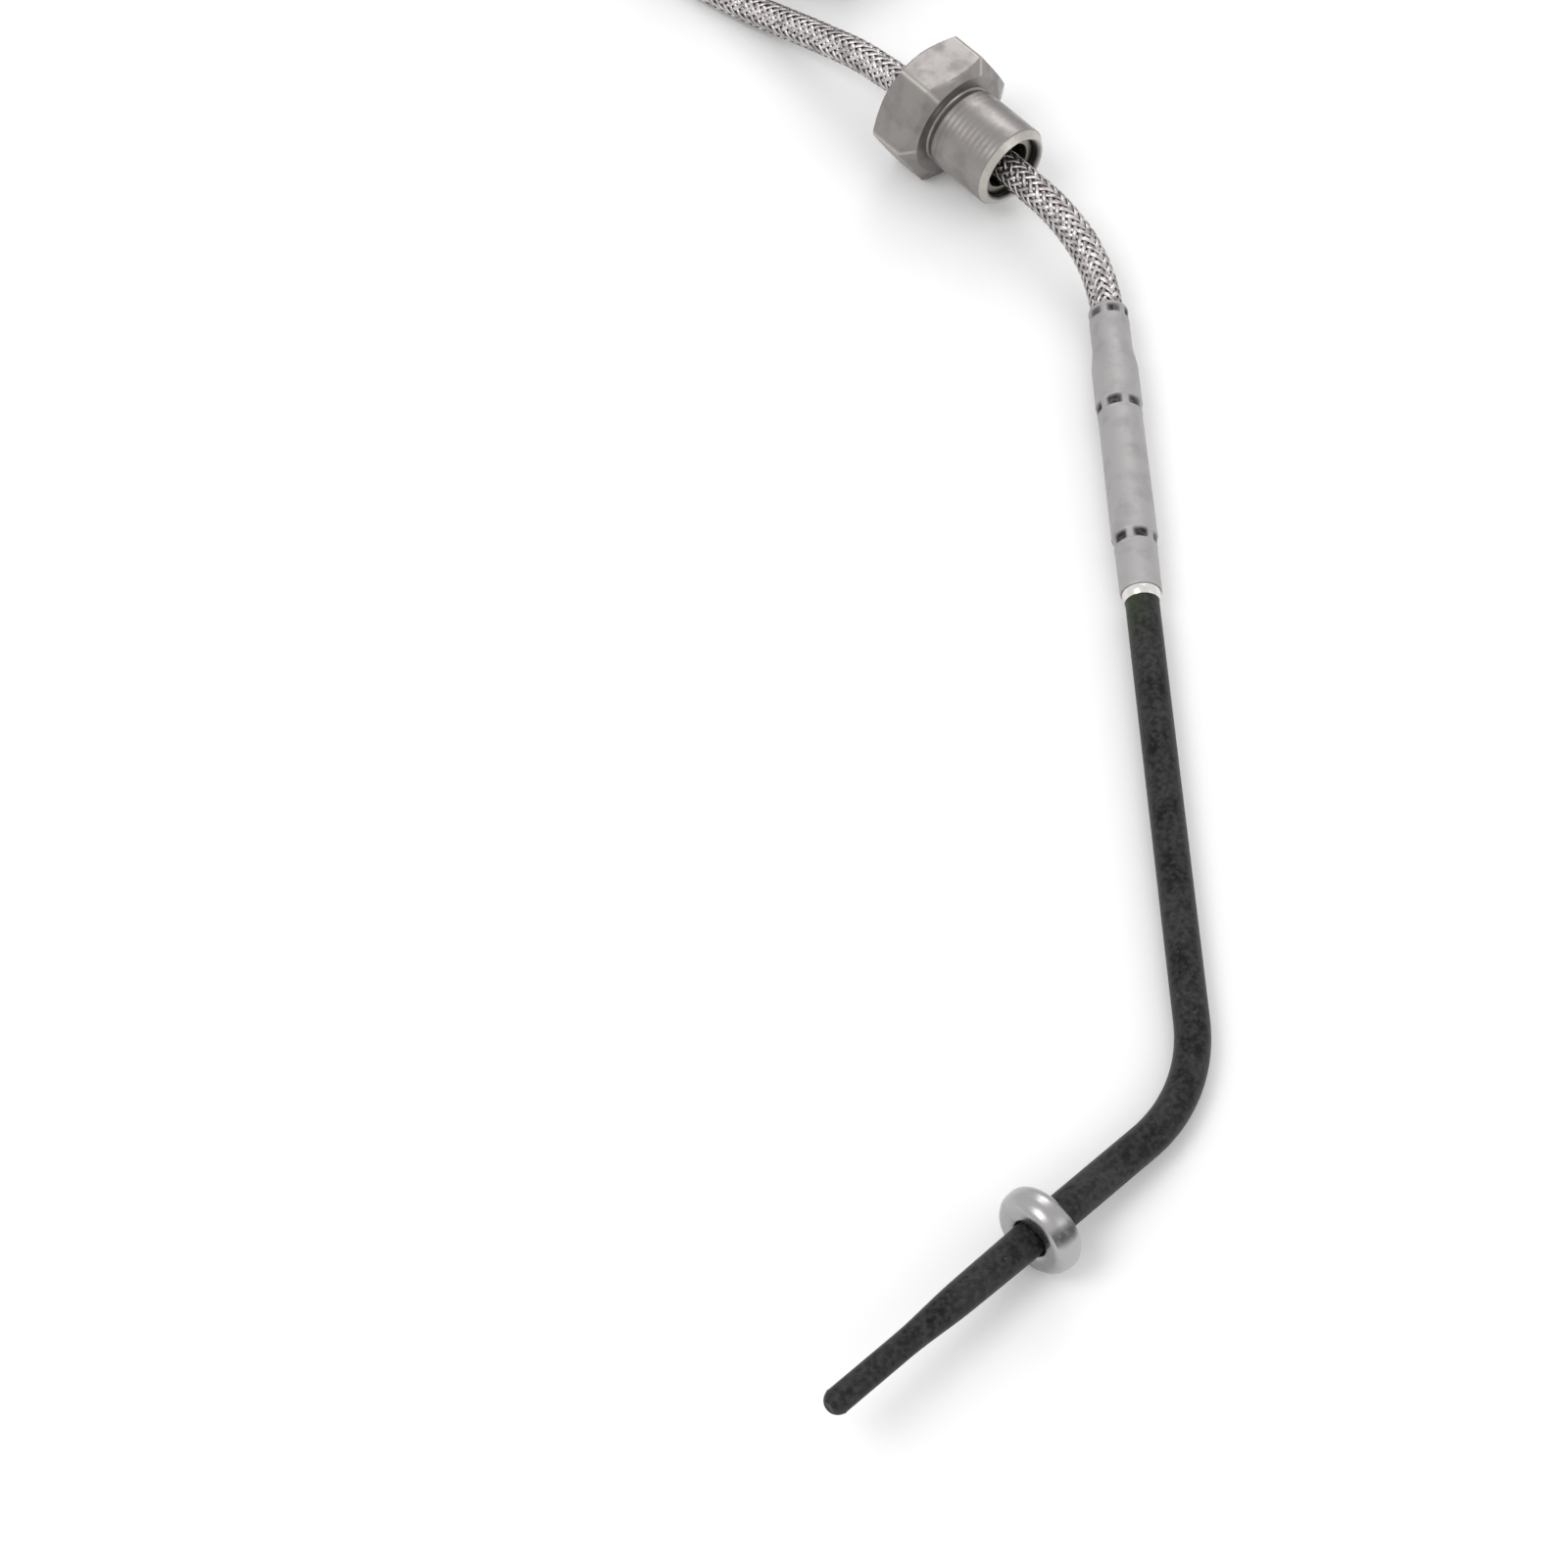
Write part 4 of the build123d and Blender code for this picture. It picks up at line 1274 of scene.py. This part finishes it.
    def painted_light_and_wear(self, angle: float, height: float, radius: float) -> float:
        """Painted shade inside the bore, and worn bright colour with painted highlight on the mouth's rim
        and the hexagon's corners.
        """
        # Painted shade inside the bore.
        if radius < self.mouth_radius - 0.2:
            return 0.95 if height > -self.shank else 0.7
        # Worn bright colour with painted highlight on the mouth's chamfer.
        if radius < self.thread_radius - 0.2:
            return -0.42 if height > -self.chamfer else 0.0
        # Worn bright colour with painted highlight along the hexagon's corners.
        corner = abs((angle + math.radians(30)) % math.radians(60) - math.radians(30))
        on_hexagon = radius > self.face_share * self.flats / 2 + 0.01
        return -0.45 * max(0.0, 1 - corner / math.radians(2.4)) if on_hexagon else 0.0

    def ring_outline(self) -> list[tuple[float, float]]:
        """Outline of the thrust ring, inside the counterbore."""
        low = -self.counterbore_depth + 0.08
        return rounded([(3.9, low), (5.19, low), (5.19, low + 2.1), (3.9, low + 2.1)], 0.25, 4)

    def build(self) -> None:
        """Makes the nut and the thrust ring."""
        place = self.place()
        origin = self.mouth * MM
        steel = WorkedSteel(
            "nut_steel",
            self.way,
            origin,
            colour=(0.284, 0.268, 0.259),
            stain=(0.222, 0.203, 0.198),
            # Tone of the painted shade in the bore.
            painted_dark_tone=(0.010, 0.011, 0.006),
            rough=0.38,
            mark_size=0.08,
        ).make()
        cuts = {"relief": self.relief, "marks": self.painted_light_and_wear, "angles": self.angles()}
        mesh = lathe("gland_nut", self.outline(), place, **cuts)
        settle(new_piece("gland_nut", mesh, steel, 30.0), "union_nut", "nut_steel", "union_nut")
        bright = WorkedSteel(
            "ring_steel",
            self.way,
            origin,
            colour=(0.26, 0.255, 0.215),
            stain=(0.17, 0.165, 0.135),
            rough=0.34,
            mark_size=0.06,
        ).make()
        ring = new_piece("mouth_ring", lathe("mouth_ring", self.ring_outline(), place, 96), bright)
        settle(ring, "thrust_ring", "bright_steel", "thrust_ring")


# ---------------------------------------------------------------- tie round the coil
@dataclass
class CoilTie:
    """Moulded strap closed round the coil, with its locking head. Sizes in millimetres."""

    coil_centre: Vector = field(default_factory=lambda: Vector(COIL_CENTRE))
    coil_radius: float = COIL_RADIUS
    angle: float = -75.0
    low: float = 1.32
    high: float = 11.9
    half: float = 2.7
    thickness: float = 0.95
    width: float = 4.6
    corner_steps: int = 8

    def loop(self, outset: float) -> list[tuple[float, float]]:
        """Rounded loop of (outwards, up) points, moved out by a distance."""
        radius = self.half + outset
        points = []
        for middle, turn in ((self.high - self.half, 0.0), (self.low + self.half, math.pi)):
            for step in range(self.corner_steps + 1):
                angle = turn + math.pi * step / self.corner_steps
                points.append((radius * math.cos(angle), middle + radius * math.sin(angle)))
        return points

    def build(self) -> Piece:
        """Makes the strap with its ribs and its head."""
        out = StemLine.heading(self.angle)
        centre = self.coil_centre + out * self.coil_radius
        across = Vector((-out.y, out.x, 0.0))
        work = bmesh.new()
        full, sunk = self.thickness, self.thickness - 0.22
        edges = [(0.0, -0.5), (full, -0.5), (full, -0.38), (sunk, -0.3)]
        edges += [(sunk, 0.3), (full, 0.38), (full, 0.5), (0.0, 0.5)]
        rings = []
        for outset, side in edges:
            offset = across * (side * self.width)
            ring = [centre + out * o + Vector((0, 0, h)) + offset for o, h in self.loop(outset)]
            rings.append([work.verts.new(point * MM) for point in ring])
        count = len(rings[0])
        for this, following in zip(rings, rings[1:] + rings[:1]):
            for k in range(count):
                after = (k + 1) % count
                work.faces.new((this[k], this[after], following[after], following[k]))
        up = Vector((0, 0, 1))
        head = frame_along((centre + out * (self.half + 1.6) + up * 7.6) * MM, up, out)
        size = Matrix.Diagonal((3.0 * MM, 6.2 * MM, 5.0 * MM, 1.0))
        made = bmesh.ops.create_cube(work, size=1.0, matrix=head @ size)
        box = list({edge for vert in made["verts"] for edge in vert.link_edges})
        bmesh.ops.bevel(work, geom=box, offset=0.5 * MM, segments=3, profile=0.5, affect="EDGES")
        mesh = mesh_of(work, "coil_strap")
        nylon = PlainFinish("tie_nylon", (0.020, 0.020, 0.021), (0.032, 0.032, 0.033), 0.42).make()
        return settle(new_piece("coil_strap", mesh, nylon), PROBE_BODY, "tie_plastic", "coil_tie")


# ---------------------------------------------------------------- connector
@dataclass
class Plug:
    """The sealed two-way connector and its ribbed boot. Sizes in millimetres."""

    rear: Vector = field(default_factory=lambda: Vector((9.0, 197.9, 6.0)))
    boot_length: float = 14.0
    boot_ribs: int = 7
    boot_rib_pitch: float = 1.35
    rib_count: int = 6
    rib_pitch: float = 1.7
    rib_width: float = 0.7
    rib_height: float = 6.4
    rib_stand: float = 0.35
    housing_half: float = 8.0

    def boot_outline(self) -> list[tuple[float, float]]:
        """Tapered boot with grooves that let it bend."""
        points = [(2.6, 0.0), (3.4, 0.0), (3.7, 0.6)]
        for rib in range(self.boot_ribs):
            start = 1.3 + rib * self.boot_rib_pitch
            outer = 3.7 + 1.3 * start / 11.0
            inner = outer - 0.62
            points += [(outer, start), (inner, start + 0.12), (inner, start + 0.62)]
            points += [(outer + 0.08, start + 0.74)]
        points += [(5.0, 11.0), (5.0, self.boot_length), (2.6, self.boot_length)]
        return rounded(points, 0.14, 3)

    def rib_tree(self, plastic: Material) -> GeometryTree:
        """Geometry Nodes that repeat a grip rib along both sides of the housing."""
        sizes = {
            "Count": self.rib_count,
            "Pitch": self.rib_pitch * MM,
            "Width": self.rib_width * MM,
            "Height": self.rib_height * MM,
            "Stand": (2 * self.rib_stand) * MM,
            "Half": self.housing_half * MM,
        }
        g = GeometryTree("grip_ribs", sizes)
        size = g.triple({0: g.size("Width"), 1: g.size("Stand"), 2: g.size("Height")})
        rib = g.add("GeometryNodeMeshCube", {}, {"Size": size}).outputs[0]
        steps = {"Count": g.size("Count"), "Offset": g.triple({0: g.size("Pitch")})}
        row = g.add("GeometryNodeMeshLine", {"mode": "OFFSET"}, steps).outputs[0]
        sides = []
        for sign in (-1.0, 1.0):
            away = g.triple({1: g.maths("MULTIPLY", g.size("Half"), sign)})
            moved = g.add("GeometryNodeTransform", {}, {0: row, "Translation": away}).outputs[0]
            sides.append(g.add("GeometryNodeInstanceOnPoints", {}, {"Points": moved, "Instance": rib}))
        joined = g.add("GeometryNodeJoinGeometry")
        for side in sides:
            g.tree.links.new(side.outputs[0], joined.inputs[0])
        g.finish(joined.outputs[0], plastic)
        return g

    def ribs(self, plastic: Material) -> Piece:
        """Makes the grip ribs as one plain mesh, in place."""
        seed = linked("rib_seed", bpy.data.meshes.new("rib_seed"))
        piece = self.rib_tree(plastic).run(seed, "grip_ribs")
        work = bmesh.new()
        work.from_mesh(piece.data)
        bmesh.ops.bevel(work, geom=work.edges[:], offset=0.12 * MM, segments=2, profile=0.5, affect="EDGES")
        bmesh.ops.translate(work, verts=work.verts, vec=(self.rear + Vector((15.0, 0, 0))) * MM)
        bpy.data.objects.remove(piece)
        mesh = mesh_of(work, "grip_ribs")
        return settle(new_piece("side_ribs", mesh, plastic, 40.0), PROBE_BODY, "housing_plastic")

    def build(self) -> list[Piece]:
        """Makes the connector's outer pieces and returns those that lie on the lead."""
        plastic, rubber, seal, orange = (
            PlainFinish(name, colour, other, rough, grain=grain).make()
            for name, colour, other, rough, grain in (
                ("housing_plastic", (0.016, 0.0165, 0.018), (0.026, 0.027, 0.029), 0.46, 0.14),
                ("boot_rubber", (0.014, 0.014, 0.014), (0.026, 0.025, 0.024), 0.68, 0.2),
                ("seal_rubber", (0.30, 0.10, 0.055), (0.40, 0.145, 0.08), 0.58, 0.3),
                ("lock_plastic", (0.56, 0.17, 0.035), (0.64, 0.22, 0.055), 0.44, 0.16),
            )
        )
        place = frame_along(self.rear * MM, Vector((1, 0, 0)), Vector((0, 0, 1)))
        boot = new_piece("ribbed_boot", lathe("ribbed_boot", self.boot_outline(), place, 72), rubber)
        settle(boot, PROBE_BODY, "boot_rubber", "connector_boot")
        moulded = [
            settle(softened(node, material, bevel), body, slot, node)
            for node, material, bevel, body, slot in (
                ("connector_housing", plastic, 0.22, PROBE_BODY, "housing_plastic"),
                ("nose_seal", seal, 0.3, PROBE_BODY, "seal_rubber"),
                ("secondary_lock", orange, 0.15, "secondary_lock", "lock_plastic"),
                ("latch_lever", plastic, 0.2, "latch_lever", "housing_plastic"),
            )
        ]
        return [boot, *moulded, self.ribs(plastic)]


# ---------------------------------------------------------------- pieces that stay as they are
class InnerFinish(Enum):
    """Finishes of the pieces inside, by the record's slot."""

    MINERAL = ("mineral", (0.80, 0.78, 0.72), (0.70, 0.68, 0.62), 0.85, 0.0)
    CEMENT = ("cement", (0.60, 0.57, 0.50), (0.48, 0.45, 0.39), 0.90, 0.0)
    BEAD = ("bead_glass", (0.26, 0.13, 0.08), (0.34, 0.19, 0.12), 0.25, 0.0)
    WIRE = ("nickel_wire", (0.52, 0.50, 0.46), (0.40, 0.38, 0.35), 0.32, 1.0)
    BRASS = ("splice_brass", (0.62, 0.43, 0.18), (0.50, 0.33, 0.13), 0.34, 1.0)
    CERAMIC = ("white_insulator", (0.84, 0.82, 0.77), (0.76, 0.73, 0.68), 0.55, 0.0)
    INSULATION = ("wire_insulation", (0.74, 0.71, 0.66), (0.64, 0.61, 0.56), 0.50, 0.0)
    SEAL = ("seal_rubber", (0.30, 0.10, 0.055), (0.40, 0.145, 0.08), 0.60, 0.0)
    FERRULE = ("bright_steel", (0.62, 0.61, 0.60), (0.48, 0.47, 0.46), 0.28, 1.0)
    TERMINAL = ("terminal_tin", (0.66, 0.66, 0.64), (0.54, 0.54, 0.52), 0.30, 1.0)

    def dress(self, nodes: Iterable[str]) -> None:
        """Gives this finish to CAD nodes."""
        slot, colour, other, rough, metal = self.value
        material = PlainFinish(f"{slot}_inner", colour, other, rough, metal, grain=0.12, cloud=1.6).make()
        for node in nodes:
            for part in bpy.data.objects[node].material_slots:
                part.material = material
        LOG.info("%s is on %s", slot, ", ".join(nodes))


@dataclass(frozen=True)
class InnerPieces:
    """The pieces inside the sheath, the sleeve and the connector."""

    def build(self) -> None:
        """Gives each of them its finish."""
        InnerFinish.MINERAL.dress(["mineral_core"])
        InnerFinish.CEMENT.dress(["tip_filler"])
        InnerFinish.BEAD.dress(["element_bead"])
        InnerFinish.WIRE.dress(["conductor_a", "conductor_b"])
        InnerFinish.BRASS.dress(["splice_a", "splice_b"])
        InnerFinish.CERAMIC.dress(["insulator"])
        InnerFinish.INSULATION.dress(["lead_wire_a", "lead_wire_b", "tail_wire_a", "tail_wire_b"])
        InnerFinish.SEAL.dress(["lead_seal", "wire_seal"])
        InnerFinish.FERRULE.dress(["braid_ferrule", "lead_end_ferrule"])
        InnerFinish.TERMINAL.dress(["terminal_a", "terminal_b"])


def main() -> None:
    """Builds the stage, then the lead with what lies on it, then the rest of the probe."""
    logging.basicConfig(level=logging.INFO, format="%(name)s: %(message)s")
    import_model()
    Studio().build()
    line = StemLine()
    Lead(line).build(lambda: [CoilTie().build(), *Plug().build()])
    Stem(line).build()
    CrimpSleeve(line).build()
    UnionNut().build()
    InnerPieces().build()


if __name__ == "__main__":
    main()
